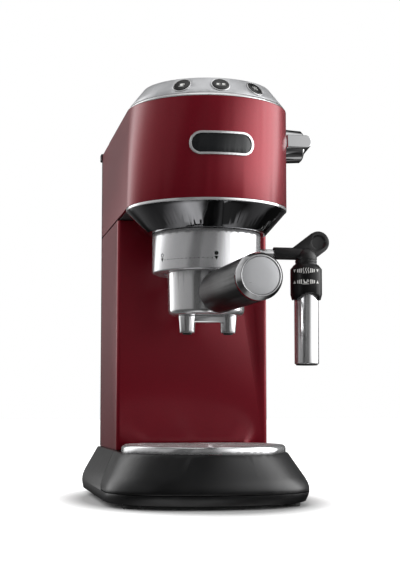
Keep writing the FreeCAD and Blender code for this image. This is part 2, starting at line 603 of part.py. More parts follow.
def switch_parts():
    outside = dim.crease_rear
    half, rise, wall = dim.switch_length / 2, dim.switch_height / 2, dim.switch_frame_wall
    x, z = dim.switch_x, dim.switch_z
    flange = box("switch_flange", (x - half - wall * 2, x + half + wall * 2), (outside, outside + wall),
                 (z - rise - wall * 2, z + rise + wall * 2))
    well = box("switch_well", (x - half - wall, x + half + wall), (outside - half, outside + wall),
               (z - rise - wall, z + rise + wall))
    room = box("switch_room", (x - half, x + half), (outside - half + wall, FAR), (z - rise, z + rise))
    cut("switch_frame", fuse("switch_frame_blank", flange, well), room)
    # The rocker is a crowned block that turns about an axis along X through the middle of its back.
    play = dim.fit_gap
    length, reach = half - play, rise - dim.rocker_play
    crown = outside + wall + dim.rocker_crown
    back = outside - rise
    padded("rocker_switch", "YZ_Plane",
           [(back - outside, -reach / 2), (wall, -reach), (crown - outside, -reach), (dim.rocker_valley, 0),
            (crown - outside, reach), (wall, reach), (back - outside, reach / 2)],
           (-length, length), (x, outside, z), Rotation(Vector(1, 0, 0), dim.rocker_tilt.value))
    gland = turned("gland_blank", [
        (dim.gland_bore, -dim.base_wall * 2), (dim.gland_radius, -dim.base_wall * 2), (dim.gland_radius, 0),
        (dim.gland_radius + wall, 0), (dim.gland_radius + wall, wall), (dim.gland_radius - wall / 2, wall),
        (dim.gland_bore + wall / 2, dim.gland_reach), (dim.gland_bore, dim.gland_reach)],
        (dim.gland_x, outside, dim.switch_z), ALONG_Y)
    gland.Label = "cord_gland"


# ---------------------------------------------------------------- drip tray


def tray_parts():
    outer = base_loft("tray_outer", as_size(0))
    inner = base_loft("tray_inner", dim.tray_wall)
    shell = common("tray_blank", outer, tray_region("tray_front", dim.tray_gap, 0))
    basin = common("tray_basin", inner, tray_region("basin_front", dim.tray_gap, dim.tray_wall))
    mouth = box("tray_mouth", (-HALF / 2, HALF / 2), (-dim.grid_reach * 2, -dim.grid_reach),
                (dim.base_top - dim.overcut, dim.base_top * 2))
    cut("drip_tray", shell, basin, mouth)
    grid_parts()
    floor = dim.bed_height + dim.tray_gap + dim.tray_wall
    rest = floor + dim.fit_gap
    turned("tray_float", [(0, 0), (dim.float_bulb, 0), (dim.float_bulb, dim.float_bulb_height),
                          (dim.float_stem, dim.float_bulb_height),
                          (dim.float_stem, dim.grid_top - dim.float_sink - rest),
                          (0, dim.grid_top - dim.float_sink - rest)], (0, -dim.float_reach, rest))


def grid_parts():
    """The cup grid: a pressed sheet with a rolled edge, cut straight where it meets the column."""
    low = dim.base_top + dim.fit_gap
    sheet, rolled = dim.grid_sheet, dim.grid_round
    centre = (0, -dim.grid_reach, 0)
    dish = turned("grid_dish", [
        (0, dim.grid_top - sheet), (dim.grid_radius - rolled, dim.grid_top - sheet),
        (dim.grid_radius - sheet, dim.grid_top - rolled, -(rolled - sheet)), (dim.grid_radius - sheet, low),
        (dim.grid_radius, low), (dim.grid_radius, dim.grid_top - rolled),
        (dim.grid_radius - rolled, dim.grid_top, rolled), (0, dim.grid_top)], centre)
    behind = box("grid_behind", (-FAR / 2, FAR / 2), (-dim.grid_rear, FAR), (0, FAR))
    reach = dim.grid_reach - dim.grid_rear
    chord = root(dim.grid_radius * dim.grid_radius - reach * reach) - sheet
    flange = box("grid_flange", (-chord, chord), (-dim.grid_rear - sheet, -dim.grid_rear),
                 (low, dim.grid_top - sheet / 2))
    float_hole = cone("float_hole", (dim.float_stem + dim.float_play,), (low, FAR), (0, -dim.float_reach))
    slots = []
    for row in range(SLOT_ROWS):
        back = dim.slot_first + dim.slot_pitch * row
        reach = dim.grid_radius - dim.slot_margin
        off = back - dim.grid_reach
        half = (root(reach * reach - off * off) - dim.slot_web / 2) / 2
        for side in (-1, 1):
            spot = (side * (half + dim.slot_web / 2), -back, 0)
            slots.append(padded(f"slot_{row}_{side + 1}", "XY_Plane", stadium(half, dim.slot_width / 2),
                                (dim.grid_top - sheet * 2, dim.grid_top + sheet), spot))
    trimmed = cut("grid_trimmed", dish, behind)
    cut("cup_grid", fuse("grid_blank", trimmed, flange), float_hole, *slots)


# ---------------------------------------------------------------- housing shells


def shell_parts():
    wall, corner, rear = dim.shell_wall, dim.column_corner, dim.shell_rear
    inner = HALF - wall
    wrap = padded("column_wrap", "XY_Plane", [
        (-HALF, corner), (corner - HALF, 0, corner), (HALF - corner, 0), (HALF, corner, corner), (HALF, rear),
        (inner, rear), (inner, wall), (-inner, wall), (-inner, rear), (-HALF, rear)],
        (dim.base_top + dim.fit_gap, dim.column_top))
    bush_hole = cone("bush_hole", (dim.bush_radius + dim.shaft_clearance,), (-wall, wall * 2),
                     (dim.bush_x, dim.wand_z), "y")
    cut("column_shell", wrap, bush_hole)
    front = AXIS_Y - HALF
    band = padded("head_wrap", "XY_Plane", [
        (-HALF, AXIS_Y), (0, front, HALF), (HALF, AXIS_Y, HALF), (HALF, rear), (inner, rear), (inner, AXIS_Y),
        (0, front + wall, -inner), (-inner, AXIS_Y, -inner), (-inner, rear), (-HALF, rear)],
        (dim.head_bottom, dim.head_top))
    spindle_hole = cone("spindle_hole", (dim.spindle_radius * 2,), (inner - wall, HALF + wall),
                        (dim.knob_y, dim.knob_z), "x")
    cut("head_shell", band, spindle_hole)
    edge = inner - dim.fit_gap
    plate = padded("floor_blank", "XY_Plane", head_outline(edge, dim.frame_front - dim.fit_gap),
                   (dim.floor_bottom, dim.floor_bottom + dim.floor_thickness))
    works = box("floor_opening", (-dim.works_opening_half, dim.bush_x + dim.bush_flange),
                (dim.works_opening_front, dim.works_opening_rear), (0, FAR))
    neck = cone("floor_neck_hole", (dim.neck_radius + dim.neck_play,), (0, FAR), (0, AXIS_Y))
    cut("head_floor", plate, works, neck)


def frame_parts():
    """The chassis wall between the works and the tank, with a foot on the deck and a top shelf."""
    front, back = dim.frame_front, dim.frame_front + dim.frame_thickness
    edge = HALF - dim.shell_wall - dim.fit_gap
    wall = box("frame_wall", (-edge, edge), (front, back), (dim.base_top, dim.frame_top))
    foot_plate = box("frame_foot_plate", (-edge, edge), (front - dim.frame_foot, back),
                     (dim.base_top, dim.base_top + dim.frame_thickness))
    shelf = box("frame_shelf", (-dim.heater_half, dim.heater_half), (dim.heater_rear, back),
                (dim.heater_bottom - dim.frame_thickness, dim.heater_bottom))
    window = box("frame_window", (-dim.heater_half + dim.heater_corner, dim.heater_half - dim.heater_corner),
                 (dim.heater_rear + dim.heater_corner, front - dim.heater_corner),
                 (dim.floor_bottom, dim.heater_top))
    fuse("inner_frame", wall, foot_plate, cut("frame_shelf_open", shelf, window))


# ---------------------------------------------------------------- brewing group


def group_parts():
    at = (0, AXIS_Y, 0)
    wall, lip = dim.cone_wall, dim.cone_lip
    top = dim.floor_bottom
    skirt = turned("cone_blank", [
        (dim.collar_radius + dim.fit_gap, dim.cone_bottom), (dim.cone_bottom_radius, dim.cone_bottom),
        (dim.cone_shoulder_radius, dim.cone_shoulder), (dim.cone_top_radius, top - lip),
        (dim.cone_top_radius, top), (dim.cone_shoulder_radius - wall, top),
        (dim.cone_shoulder_radius - wall, dim.cone_shoulder + wall / 2),
        (dim.cone_bottom_radius - wall, dim.cone_bottom + wall),
        (dim.collar_radius + dim.fit_gap, dim.cone_bottom + wall)], at)
    cut("group_cone", skirt, box("cone_behind", (-FAR / 2, FAR / 2), (-dim.fit_gap, FAR), (0, FAR)))

    ledge_top = dim.collar_bottom + dim.ledge_height
    edge = dim.collar_round
    ring = turned("collar_blank", [
        (dim.ledge_bore, dim.collar_bottom), (dim.collar_radius - edge, dim.collar_bottom),
        (dim.collar_radius, dim.collar_bottom + edge, edge), (dim.collar_radius, dim.collar_top),
        (dim.collar_bore, dim.collar_top), (dim.collar_bore, ledge_top), (dim.ledge_bore, ledge_top)], at)
    entries = []
    for number, side in enumerate((0, 180)):
        entry = cone(f"lug_entry_{number}", (dim.collar_bore,), (0, ledge_top + dim.ledge_height),
                     (0, AXIS_Y), angle=dim.lug_angle + dim.lug_play * 2)
        start = side - dim.turn_angle.value - dim.lug_angle.value / 2 - dim.lug_play.value
        entry.Placement.Rotation = Rotation(Vector(0, 0, 1), start)
        entries.append(entry)
    cut("group_collar", ring, *entries)

    hub, flange = dim.group_hub_radius, dim.collar_bore - dim.shaft_clearance
    turned("group_head", [
        (dim.water_bore, dim.group_hub_bottom), (hub, dim.group_hub_bottom), (hub, dim.group_flange_bottom),
        (flange, dim.group_flange_bottom), (flange, dim.collar_top - dim.fit_gap),
        (dim.neck_radius, dim.collar_top - dim.fit_gap), (dim.neck_radius, dim.heater_bottom),
        (dim.water_bore, dim.heater_bottom)], at)
    turned("group_seal", [
        (dim.seal_inner, dim.seal_bottom + dim.fit_gap),
        (dim.seal_inner + dim.seal_chamfer, dim.seal_bottom),
        (dim.seal_outer - dim.seal_chamfer, dim.seal_bottom),
        (dim.seal_outer, dim.seal_bottom + dim.fit_gap * 2),
        (dim.seal_outer, dim.group_flange_bottom), (dim.seal_inner, dim.group_flange_bottom)], at)
    screen_parts(at)


def screen_parts(at):
    """A dished steel screen held to the group by one screw."""
    low, high = dim.screen_bottom, dim.group_hub_bottom
    radius, sheet = dim.screen_radius, dim.screen_sheet
    bore = dim.water_bore - dim.shaft_clearance
    dish = turned("screen_dish", [(bore, low), (radius, low), (radius, high), (radius - sheet, high),
                                  (radius - sheet, low + sheet), (bore, low + sheet)], at)
    holes = []
    for ring, count in SCREEN_RINGS:
        for number in range(count):
            angle = Size(360 * number / count, repr(360 * number / count))
            reach = dim.screen_ring * ring
            holes.append(cone(f"screen_hole_{count}_{number}", (dim.screen_hole,),
                              (low - sheet, low + sheet * 2),
                              (reach * cosine(angle), AXIS_Y + reach * sine(angle))))
    cut("shower_screen", dish, *holes)
    thread, head = bore - dim.shaft_clearance, dim.screen_screw_head
    under, end = low - dim.screen_screw_rise, dim.group_flange_bottom + dim.water_bore
    turned("shower_screw", [(0, under), (head, under), (head, low), (thread, low), (thread, end), (0, end)],
           at)


# ---------------------------------------------------------------- portafilter


def portafilter_parts():
    at = (0, AXIS_Y, 0)
    low, foot_round = dim.holder_bottom, dim.holder_round
    cup = turned("holder_cup", [
        (dim.holder_outlet, low), (dim.holder_bottom_radius - foot_round, low),
        (dim.holder_bottom_radius, low + foot_round, foot_round),
        (dim.holder_radius, dim.holder_rim_bottom - dim.holder_step),
        (dim.holder_rim_radius, dim.holder_rim_bottom), (dim.holder_rim_radius, dim.holder_top),
        (dim.holder_bore, dim.holder_top), (dim.holder_bore, dim.holder_floor),
        (dim.holder_outlet, low + foot_round)], at)
    lugs = []
    for number, side in enumerate((0, 180)):
        wedge = cone(f"lug_wedge_{number}", (dim.lug_radius,),
                     (dim.lug_bottom, dim.lug_bottom + dim.lug_height), (0, AXIS_Y), angle=dim.lug_angle)
        wedge.Placement.Rotation = Rotation(Vector(0, 0, 1), side - dim.lug_angle.value / 2)
        core = cone(f"lug_core_{number}", (dim.holder_rim_radius - dim.overcut,), (0, FAR), (0, AXIS_Y))
        lugs.append(cut(f"lug_{number}", wedge, core))
    neck, root, step = dim.handle_neck, dim.holder_bore + dim.holder_skin, dim.handle_start - dim.handle_gap
    rod = turned("holder_rod", [(0, root), (neck, root), (neck, step), (dim.handle_rod, step),
                                (dim.handle_rod, dim.handle_rod_end), (0, dim.handle_rod_end)],
                 (0, AXIS_Y, dim.handle_z), HANDLE_TURN)
    bore = cone("holder_bore_tool", (dim.holder_bore,), (dim.holder_floor, dim.holder_top), (0, AXIS_Y))
    cut("portafilter_body", fuse("holder_blank", cup, rod, *lugs), bore)

    sheet, outer, bend = dim.basket_sheet, dim.basket_radius, dim.basket_round
    low, high = dim.basket_bottom, dim.holder_top
    turned("filter_basket", [
        (0, low), (outer - bend, low), (outer, low + bend, bend), (outer, high), (dim.basket_flange, high),
        (dim.basket_flange, high + sheet), (outer - sheet, high + sheet), (outer - sheet, low + bend),
        (outer - bend, low + sheet, sheet - bend), (0, low + sheet)], at)
    spout_parts()
    handle_parts()


def spout_parts():
    """Two nozzles on a bar under the holder, with a threaded plug up into its outlet."""
    bar_top = dim.holder_bottom - dim.shaft_clearance
    bar_low = bar_top - dim.spout_bar_height
    front = AXIS_Y - dim.spout_forward
    bar = box("spout_cross", (-dim.spout_x, dim.spout_x), (front - dim.spout_bar, front + dim.spout_bar),
              (bar_low, bar_top))
    hub = cone("spout_hub", (dim.spout_top_radius + dim.spout_hub_margin,), (bar_low, bar_top), (0, AXIS_Y))
    plug_top = bar_top + dim.plug_height
    plug = cone("spout_plug", (dim.holder_outlet - dim.shaft_clearance,), (bar_low, plug_top), (0, AXIS_Y))
    nozzles, bores = [], []
    for number, side in enumerate((-1, 1)):
        spot = (side * dim.spout_x, front)
        nozzles.append(cone(f"nozzle_{number}", (dim.spout_tip_radius, dim.spout_top_radius),
                            (dim.spout_tip, bar_top), spot))
        bores.append(cone(f"nozzle_bore_{number}", (dim.spout_bore,),
                          (dim.spout_tip - dim.overcut, bar_top - dim.spout_roof), spot))
    gallery = cone("spout_gallery", (dim.spout_bore / 2,), (-dim.spout_x, dim.spout_x),
                   (front, bar_low + dim.spout_bar_height / 2), "x")
    drop = cone("spout_drop", (dim.spout_bore / 2,),
                (bar_low + dim.spout_bar_height / 2, plug_top + dim.overcut),
                (0, AXIS_Y - dim.spout_forward / 4))
    cut("double_spout", fuse("spout_blank", bar, hub, plug, *nozzles), *bores, gallery, drop)


def handle_parts():
    """The grip and its end cap; heights run outwards from the group's axis along the handle."""
    at = (0, AXIS_Y, dim.handle_z)
    radius, start, edge = dim.handle_radius, dim.handle_start, dim.handle_round
    end = dim.handle_reach - dim.handle_cap_length
    socket = dim.handle_rod + dim.shaft_clearance
    turned("handle", [
        (socket, start), (radius - edge, start), (radius, start + edge, edge), (radius, end), (0, end),
        (0, dim.handle_rod_end + dim.rod_end_play), (socket, dim.handle_rod_end + dim.rod_end_play)],
        at, HANDLE_TURN)
    lip, sunk, band = dim.handle_cap_face, dim.handle_reach - dim.handle_cap_sink, dim.handle_cap_band
    turned("handle_cap", [(0, end), (radius, end), (radius, end + band), (lip, dim.handle_reach),
                          (lip - band, dim.handle_reach), (lip - dim.handle_cap_lip, sunk), (0, sunk)],
           at, HANDLE_TURN)


# ---------------------------------------------------------------- control panel and top


def crown(label, span, halves):
    """The outside and the room of a ring that narrows from one half width to another over its height."""
    rear, wall = dim.panel_rear, dim.panel_wall
    outer = lofted(label + "_outer", [(z, head_outline(half, rear)) for z, half in zip(span, halves)])
    inner = lofted(label + "_inner", [(z, head_outline(half - wall, rear - wall))
                                      for z, half in zip(span, halves)])
    return outer, inner


def panel_slope():
    """Tilt of the panel's outward normal above the horizontal, in degrees."""
    rise = dim.panel_top - dim.panel_bottom
    return Size(math.degrees(math.atan2(dim.panel_inset.value, rise.value)),
                f"(atan2({dim.panel_inset.text}; {rise.text}) / 1 deg)")


def panel_radius(height):
    return PANEL_HALF - dim.panel_inset * (height - dim.panel_bottom) / (dim.panel_top - dim.panel_bottom)


def button_spot(angle):
    """Where a button's axis meets the panel, and the turn that lays Z along the panel's normal."""
    reach = panel_radius(dim.button_z)
    spot = (reach * sine(angle), AXIS_Y - reach * cosine(angle), dim.button_z)
    tilt = math.radians(panel_slope().value)
    way = math.radians(angle.value)
    normal = Vector(math.sin(way) * math.cos(tilt), -math.cos(way) * math.cos(tilt), math.sin(tilt))
    across = Vector(math.cos(way), math.sin(way), 0)
    return spot, Rotation(across, normal.cross(across), normal, "ZXY")


def panel_parts():
    outer, inner = crown("trim", (dim.trim_bottom, dim.trim_top), (HALF, PANEL_HALF))
    cut("panel_trim", outer, inner)
    outer, inner = crown("panel", (dim.panel_bottom, dim.panel_top),
                         (PANEL_HALF, PANEL_HALF - dim.panel_inset))
    angles = {"left_button": -dim.button_angle, "middle_button": as_size(0), "right_button": dim.button_angle}
    holes, bezels, switches = [], [], []
    for name, angle in angles.items():
        spot, turn = button_spot(angle)
        holes.append(button_hole(name + "_hole", spot, turn))
        bezels.append(bezel(name + "_bezel", spot, turn))
        switches.append(turned(name + "_switch", [
            (0, -dim.switch_board_depth), (dim.tact_radius, -dim.switch_board_depth),
            (dim.tact_radius, dim.tact_height - dim.switch_board_depth),
            (0, dim.tact_height - dim.switch_board_depth)], spot, turn))
        button(name, spot, turn)
    cut("control_panel", cut("panel_band", outer, inner), *holes)
    group("button_bezels", *bezels)
    group("tact_switches", *switches)
    switch_board()
    cup_plate()


def button_hole(label, spot, turn):
    """A bore through the panel along a button's axis."""
    radius, depth = dim.bezel_outer - dim.bezel_lip, dim.bezel_depth
    return turned(label, [(0, -depth), (radius, -depth), (radius, depth), (0, depth)], spot, turn)


def bezel(label, spot, turn):
    """A bright ring that lies on the panel round its button, with a guide tube through the panel."""
    bore = dim.button_radius + dim.button_gap
    tube_radius = dim.bezel_outer - dim.bezel_lip - dim.shaft_clearance
    return turned(label, [(bore, -dim.bezel_depth), (tube_radius, -dim.bezel_depth),
                          (tube_radius, dim.bezel_seat), (dim.bezel_outer, dim.bezel_seat),
                          (dim.bezel_outer - dim.bezel_chamfer, dim.bezel_proud), (bore, dim.bezel_proud)],
                  spot, turn)


def button(label, spot, turn):
    """A round cap with a flange behind the bezel and a stem towards its switch."""
    flange_top = -dim.bezel_depth - dim.fit_gap
    stem_end = -(dim.switch_board_depth - dim.tact_height) + dim.button_travel + dim.fit_gap
    radius, flange, ease = dim.button_radius, dim.button_flange, dim.button_ease
    turned(label, [(0, stem_end), (dim.button_stem, stem_end), (dim.button_stem, -dim.button_depth),
                   (flange, -dim.button_depth), (flange, flange_top), (radius, flange_top),
                   (radius, dim.button_proud - ease), (radius - ease, dim.button_proud),
                   (0, dim.button_proud)], spot, turn)


def switch_board():
    """A curved carrier behind the buttons, parallel to the panel, on two posts from the panel."""
    tilt = panel_slope()
    reach, height = panel_radius(dim.button_z), dim.button_z
    half, depth, sheet = dim.switch_board_half, dim.switch_board_depth, dim.board_sheet

    def at(along, inward):
        return (reach - along * sine(tilt) - inward * cosine(tilt),
                height + along * cosine(tilt) - inward * sine(tilt))

    board = turned("board_band", [at(-half, depth), at(half, depth), at(half, depth + sheet),
                                  at(-half, depth + sheet)][::-1],
                   (0, AXIS_Y, 0), FACING_FRONT, dim.switch_board_angle)
    posts = []
    for number, side in enumerate((-1, 1)):
        spot, turn = button_spot(side * dim.button_angle / 2)
        wall = dim.panel_wall * cosine(tilt)
        posts.append(turned(f"board_post_{number}", [
            (0, -depth - sheet / 2), (dim.board_pillar, -depth - sheet / 2),
            (dim.board_pillar, -wall - dim.fit_gap), (0, -wall - dim.fit_gap)], spot, turn))
    fuse("switch_board", board, *posts)


def cup_plate():
    """The warming plate: a sheet just below the panel's top edge, with a low rail set in from it."""
    edge = PANEL_HALF - dim.panel_inset
    top = dim.panel_top - dim.plate_sink
    low, rail_top = top - dim.plate_sheet, top + dim.plate_rail_height

    def layer(label, inset, span):
        return padded(label, "XY_Plane", head_outline(edge - inset, dim.panel_rear - inset), span)

    sheet = layer("plate_sheet", dim.panel_wall + dim.fit_gap * 2, (low, top))
    rail = layer("plate_rail", dim.plate_rail_inset, (low, rail_top))
    room = layer("plate_room", dim.plate_rail_inset + dim.plate_rail_width, (top, rail_top + dim.overcut))
    cut("cup_plate", fuse("plate_blank_top", sheet, rail), room)


def badge_parts():
    """A blank stadium plate in a bright rim, both curved to the head's front."""
    length, height = dim.badge_width / 2, dim.badge_height / 2
    at = (0, 0, dim.badge_z)
    seat = HALF + dim.shaft_clearance

    def layer(label, proud, inset):
        block = padded(label + "_block", "XZ_Plane", stadium(length - inset, height - inset),
                       (dim.group_reach, dim.group_reach * 3), at)
        skin = turned(label + "_skin", [(seat, 0), (HALF + proud, 0), (HALF + proud, FAR), (seat, FAR)],
                      (0, AXIS_Y, 0))
        return common(label + "_layer", block, skin)

    window = padded("badge_window", "XZ_Plane", stadium(length - dim.badge_rim, height - dim.badge_rim),
                    (dim.group_reach, dim.group_reach * 3), at)
    cut("badge_rim", layer("badge_rim", dim.badge_rim_proud, as_size(0)), window)
    plate = layer("badge_plate", dim.badge_plate_proud, dim.badge_rim + dim.shaft_clearance)
    plate.Label = "badge_plate"


# ---------------------------------------------------------------- steam side


def knob_parts():
    y, z = dim.knob_y, dim.knob_z
    start = HALF + dim.knob_gap
    length, edge = dim.knob_length, dim.knob_round
    barrel = turned("knob_barrel", [(0, 0), (dim.knob_radius, 0), (dim.knob_end_radius, length - edge),
                                    (dim.knob_end_radius - edge, length, edge), (0, length)],
                    (start, y, z), ALONG_X)
    thick = dim.knob_bar_thickness / 2
    # The grip bar crosses the knob's face; its outline here is seen from above, on the knob's own axis.
    bar = padded("knob_bar", "XZ_Plane", [
        (length - dim.knob_bar_root, -thick), (length + dim.knob_bar_proud - thick, -thick),
        (length + dim.knob_bar_proud, 0, thick), (length + dim.knob_bar_proud - thick, thick, thick),
        (length - dim.knob_bar_root, thick)], (-dim.knob_bar_half, dim.knob_bar_half), (start, y, z),
        Rotation(Vector(1, 0, 0), -dim.knob_bar_tilt.value))
    loose = dim.spindle_radius + dim.shaft_clearance
    spindle_end = start + dim.spindle_depth
    bore = cone("knob_bore", (loose,), (start - dim.overcut, spindle_end), (y, z), "x")
    trim = cone("knob_trim", (dim.knob_end_radius + dim.knob_bar_margin,), (start, start + length * 2),
                (y, z), "x")
    cut("steam_knob", fuse("knob_blank", barrel, common("knob_bar_trimmed", bar, trim)), bore)
    inner = dim.valve_right - dim.valve_length
    seat = inner + dim.spindle_start
    cone("valve_spindle", (dim.spindle_radius,), (seat, spindle_end - dim.spindle_end_play), (y, z), "x")
    block = box("valve_block", (inner, dim.valve_right), (y - dim.valve_half, y + dim.valve_half),
                (z - dim.valve_half, z + dim.valve_half))
    stem = cone("valve_stem", (dim.spindle_radius * 2,), (dim.valve_right, HALF - dim.stem_inset), (y, z),
                "x")
    passage = cone("valve_passage", (loose,), (seat - dim.spindle_end_play, HALF), (y, z), "x")
    leg = box("valve_leg", (inner, inner + dim.valve_leg), (y - dim.valve_leg / 2, y + dim.valve_leg / 2),
              (dim.heater_top, z))
    cut("steam_valve", fuse("valve_blank", block, stem, leg), passage)
    steam_pipe_parts()


def steam_pipe_parts():
    """The pipe from the valve down to the wand's bush, and the bush itself."""
    x = dim.bush_x
    high_x, back = x + dim.steam_pipe_shift, dim.heater_rear + dim.steam_pipe_back
    low_y = dim.bush_depth + dim.steam_pipe_reach
    tube("steam_pipe", dim.pipe_radius - dim.pipe_slack, dim.pipe_bend, [
        (high_x, dim.knob_y + dim.valve_half, dim.knob_z), (high_x, back, dim.knob_z),
        (high_x, back, dim.tube_high - dim.steam_pipe_jog),
        (x, low_y, dim.floor_bottom - dim.steam_pipe_sink),
        (x, low_y, dim.wand_z), (x, dim.bush_depth, dim.wand_z)])
    flange, thick, edge = dim.bush_flange, dim.bush_flange_thickness, dim.bush_chamfer
    bore = dim.pipe_radius + dim.shaft_clearance
    turned("wand_bush", [(bore, -thick), (flange - edge, -thick), (flange, edge - thick), (flange, 0),
                         (dim.bush_radius, 0), (dim.bush_radius, dim.bush_depth), (bore, dim.bush_depth)],
           (x, 0, dim.wand_z), ALONG_Y)


def wand_parts():
    x, y, z, bend = dim.bush_x, dim.wand_y, dim.wand_z, dim.pipe_bend

    def pipe(label, radius, extra):
        tail = cone(label + "_tail", (radius,), (y + bend, dim.pipe_tail + extra), (x, z), "y")
        arm = cone(label + "_arm", (radius,), (x + bend, dim.pipe_end + extra), (y, z), "x")
        elbow = new("Part::Torus", label + "_elbow")
        elbow.setExpression("Radius1", bend.text)
        elbow.setExpression("Radius2", as_size(radius).text)
        elbow.Angle3 = 90
        place(elbow, (x + bend, y + bend, z), Rotation(Vector(0, 0, 1), 180))
        return fuse(label + "_run", tail, elbow, arm)

    cut("wand_pipe", pipe("pipe_outer", dim.pipe_radius, 0), pipe("pipe_inner", dim.pipe_bore, dim.overcut))
    grip_parts()
    frother_parts()


def grip_parts():
    """The rubber elbow with its finger tab."""
    x, y, z = dim.wand_x, dim.wand_y, dim.wand_z
    arm = cone("grip_arm", (dim.grip_radius,), (dim.grip_start, x), (y, z), "x")
    leg = cone("grip_leg", (dim.elbow_radius,), (dim.elbow_bottom, dim.elbow_centre), (x, y))
    bulb = new("Part::Sphere", "grip_bulb")
    bulb.setExpression("Radius", dim.elbow_radius.text)
    place(bulb, (x, y, dim.elbow_centre))
    half = dim.tab_half
    tab = padded("grip_tab", "XZ_Plane", [
        (-dim.tab_tail, -half), (0, -half), (half, 0, half), (0, half, half), (-dim.tab_tail, half)],
        (-dim.tab_thickness / 2, dim.tab_thickness / 2), (x + dim.tab_x, y, z + dim.tab_z),
        Rotation(Vector(0, 1, 0), -dim.tab_angle.value))
    face = y - dim.tab_thickness / 2
    dimple = cone("tab_dimple", (dim.dimple_radius, dim.dimple_radius - dim.dimple_depth),
                  (face, face + dim.dimple_depth), (x + dim.tab_x, z + dim.tab_z), "y")
    pipe_hole = cone("grip_pipe_hole", (dim.pipe_radius + dim.shaft_clearance,),
                     (dim.grip_start - dim.overcut, dim.pipe_end + dim.overcut), (y, z), "x")
    core_hole = cone("grip_core_hole", (dim.pipe_radius + dim.shaft_clearance,),
                     (dim.elbow_bottom - dim.overcut, dim.core_top + dim.overcut), (x, y))
    grooves = []
    for number in range(2):
        low = dim.ring_top + dim.groove_start + dim.groove_pitch * number
        outer = dim.elbow_radius + dim.overcut
        inner = dim.elbow_radius - dim.neck_groove
        grooves.append(turned(f"neck_groove_{number}", [
            (inner, 0), (outer, 0), (outer, dim.groove_width), (inner, dim.groove_width)], (x, y, low)))
    cut("wand_grip", fuse("grip_rubber", arm, leg, bulb, tab), dimple, pipe_hole, core_hole, *grooves)


def frother_parts():
    x, y = dim.wand_x, dim.wand_y
    at = (x, y, 0)
    low, high, collar = dim.core_bottom, dim.core_top, dim.core_collar_bottom
    bore, radius = dim.pipe_bore, dim.pipe_radius
    bulge = radius + dim.core_tip_bulge
    turned("frother_core", [
        (bore, low), (radius - dim.core_tip_inset, low), (bulge, low + dim.core_tip_low),
        (bulge, low + dim.core_tip_high), (radius, low + dim.core_tip_end), (radius, collar),
        (dim.core_collar, collar), (dim.core_collar, collar + dim.core_collar_height),
        (radius, collar + dim.core_collar_height), (radius, high), (bore, high)], at)
    ring, bore = dim.ring_radius, dim.ring_bore
    seat = dim.sleeve_radius + dim.shaft_clearance
    blank = turned("ring_blank", [
        (seat, dim.ring_bottom), (dim.ring_foot_radius, dim.ring_bottom),
        (ring, dim.ring_bottom + dim.ring_foot_height), (ring, dim.ring_top - dim.ring_shoulder),
        (bore + dim.ring_top_lip, dim.ring_top), (bore, dim.ring_top), (bore, dim.ring_seat),
        (seat, dim.ring_seat)], at)
    arch = cone("ring_arch", (dim.ring_arch,), (y - ring - dim.overcut, y + ring + dim.overcut),
                (x, dim.ring_arch_top - dim.ring_arch), "y")
    cut("selector_ring", blank, arch)
    outer, wall, edge = dim.sleeve_radius, dim.sleeve_wall, dim.sleeve_round
    top = dim.ring_seat - dim.shaft_clearance
    turned("frother_sleeve", [
        (outer - wall, dim.sleeve_bottom), (outer - edge, dim.sleeve_bottom),
        (outer, dim.sleeve_bottom + edge, edge), (outer, top), (outer - wall, top)], at)


# ---------------------------------------------------------------- water side


def tank_outline(front, waist, rear, inner_half, outer_half, corner):
    """Narrow between the side shells, full width behind them, with round back corners."""
    return [(-inner_half, front), (inner_half, front), (inner_half, waist), (outer_half, waist),
            (outer_half, rear - corner), (outer_half - corner, rear, corner), (corner - outer_half, rear),
            (-outer_half, rear - corner, corner), (-outer_half, waist), (-inner_half, waist)]


def tank_parts():
    """The tank's walls with the lid's hinge pins, and the floor welded into them."""
    wall, corner = dim.tank_wall, dim.tank_corner
    inner_half = HALF - dim.shell_wall - dim.fit_gap * 2
    vessel = padded("tank_vessel", "XY_Plane",
                    tank_outline(dim.tank_front, dim.tank_waist, dim.tank_rear, inner_half, HALF, corner),
                    (dim.tank_bottom, dim.tank_top))
    inside = tank_outline(dim.tank_front + wall, dim.tank_waist + wall, dim.tank_rear - wall,
                          inner_half - wall, HALF - wall, corner - wall)
    water = padded("tank_water", "XY_Plane", inside, (0, FAR))
    floor = padded("tank_floor_blank", "XY_Plane", inside, (dim.tank_bottom, dim.tank_bottom + wall))
    hole = cone("tank_hole", (dim.valve_radius - dim.valve_lip,), (0, dim.tank_bottom * 2),
                (0, dim.tank_valve_y))
    cut("tank_floor", floor, hole)
    ears, pins = [], []
    for number, side in enumerate((-1, 1)):
        x = side * dim.ear_x
        ears.append(box(f"tank_ear_{number}", (x - dim.ear_half, x + dim.ear_half),
                        (dim.tank_rear - dim.overcut, dim.lid_pin_y + dim.lid_pin_radius + dim.ear_margin),
                        (dim.tank_top - dim.ear_drop, dim.lid_pin_z + dim.lid_pin_radius + dim.ear_margin)))
        pins.append(cone(f"tank_pin_{number}", (dim.lid_pin_radius,),
                         (x - dim.lid_pin_half, x + dim.lid_pin_half), (dim.lid_pin_y, dim.lid_pin_z), "x"))
    fuse("water_tank", cut("tank_open", vessel, water), *ears, *pins)
    lid_parts(inner_half)
    valve_parts()


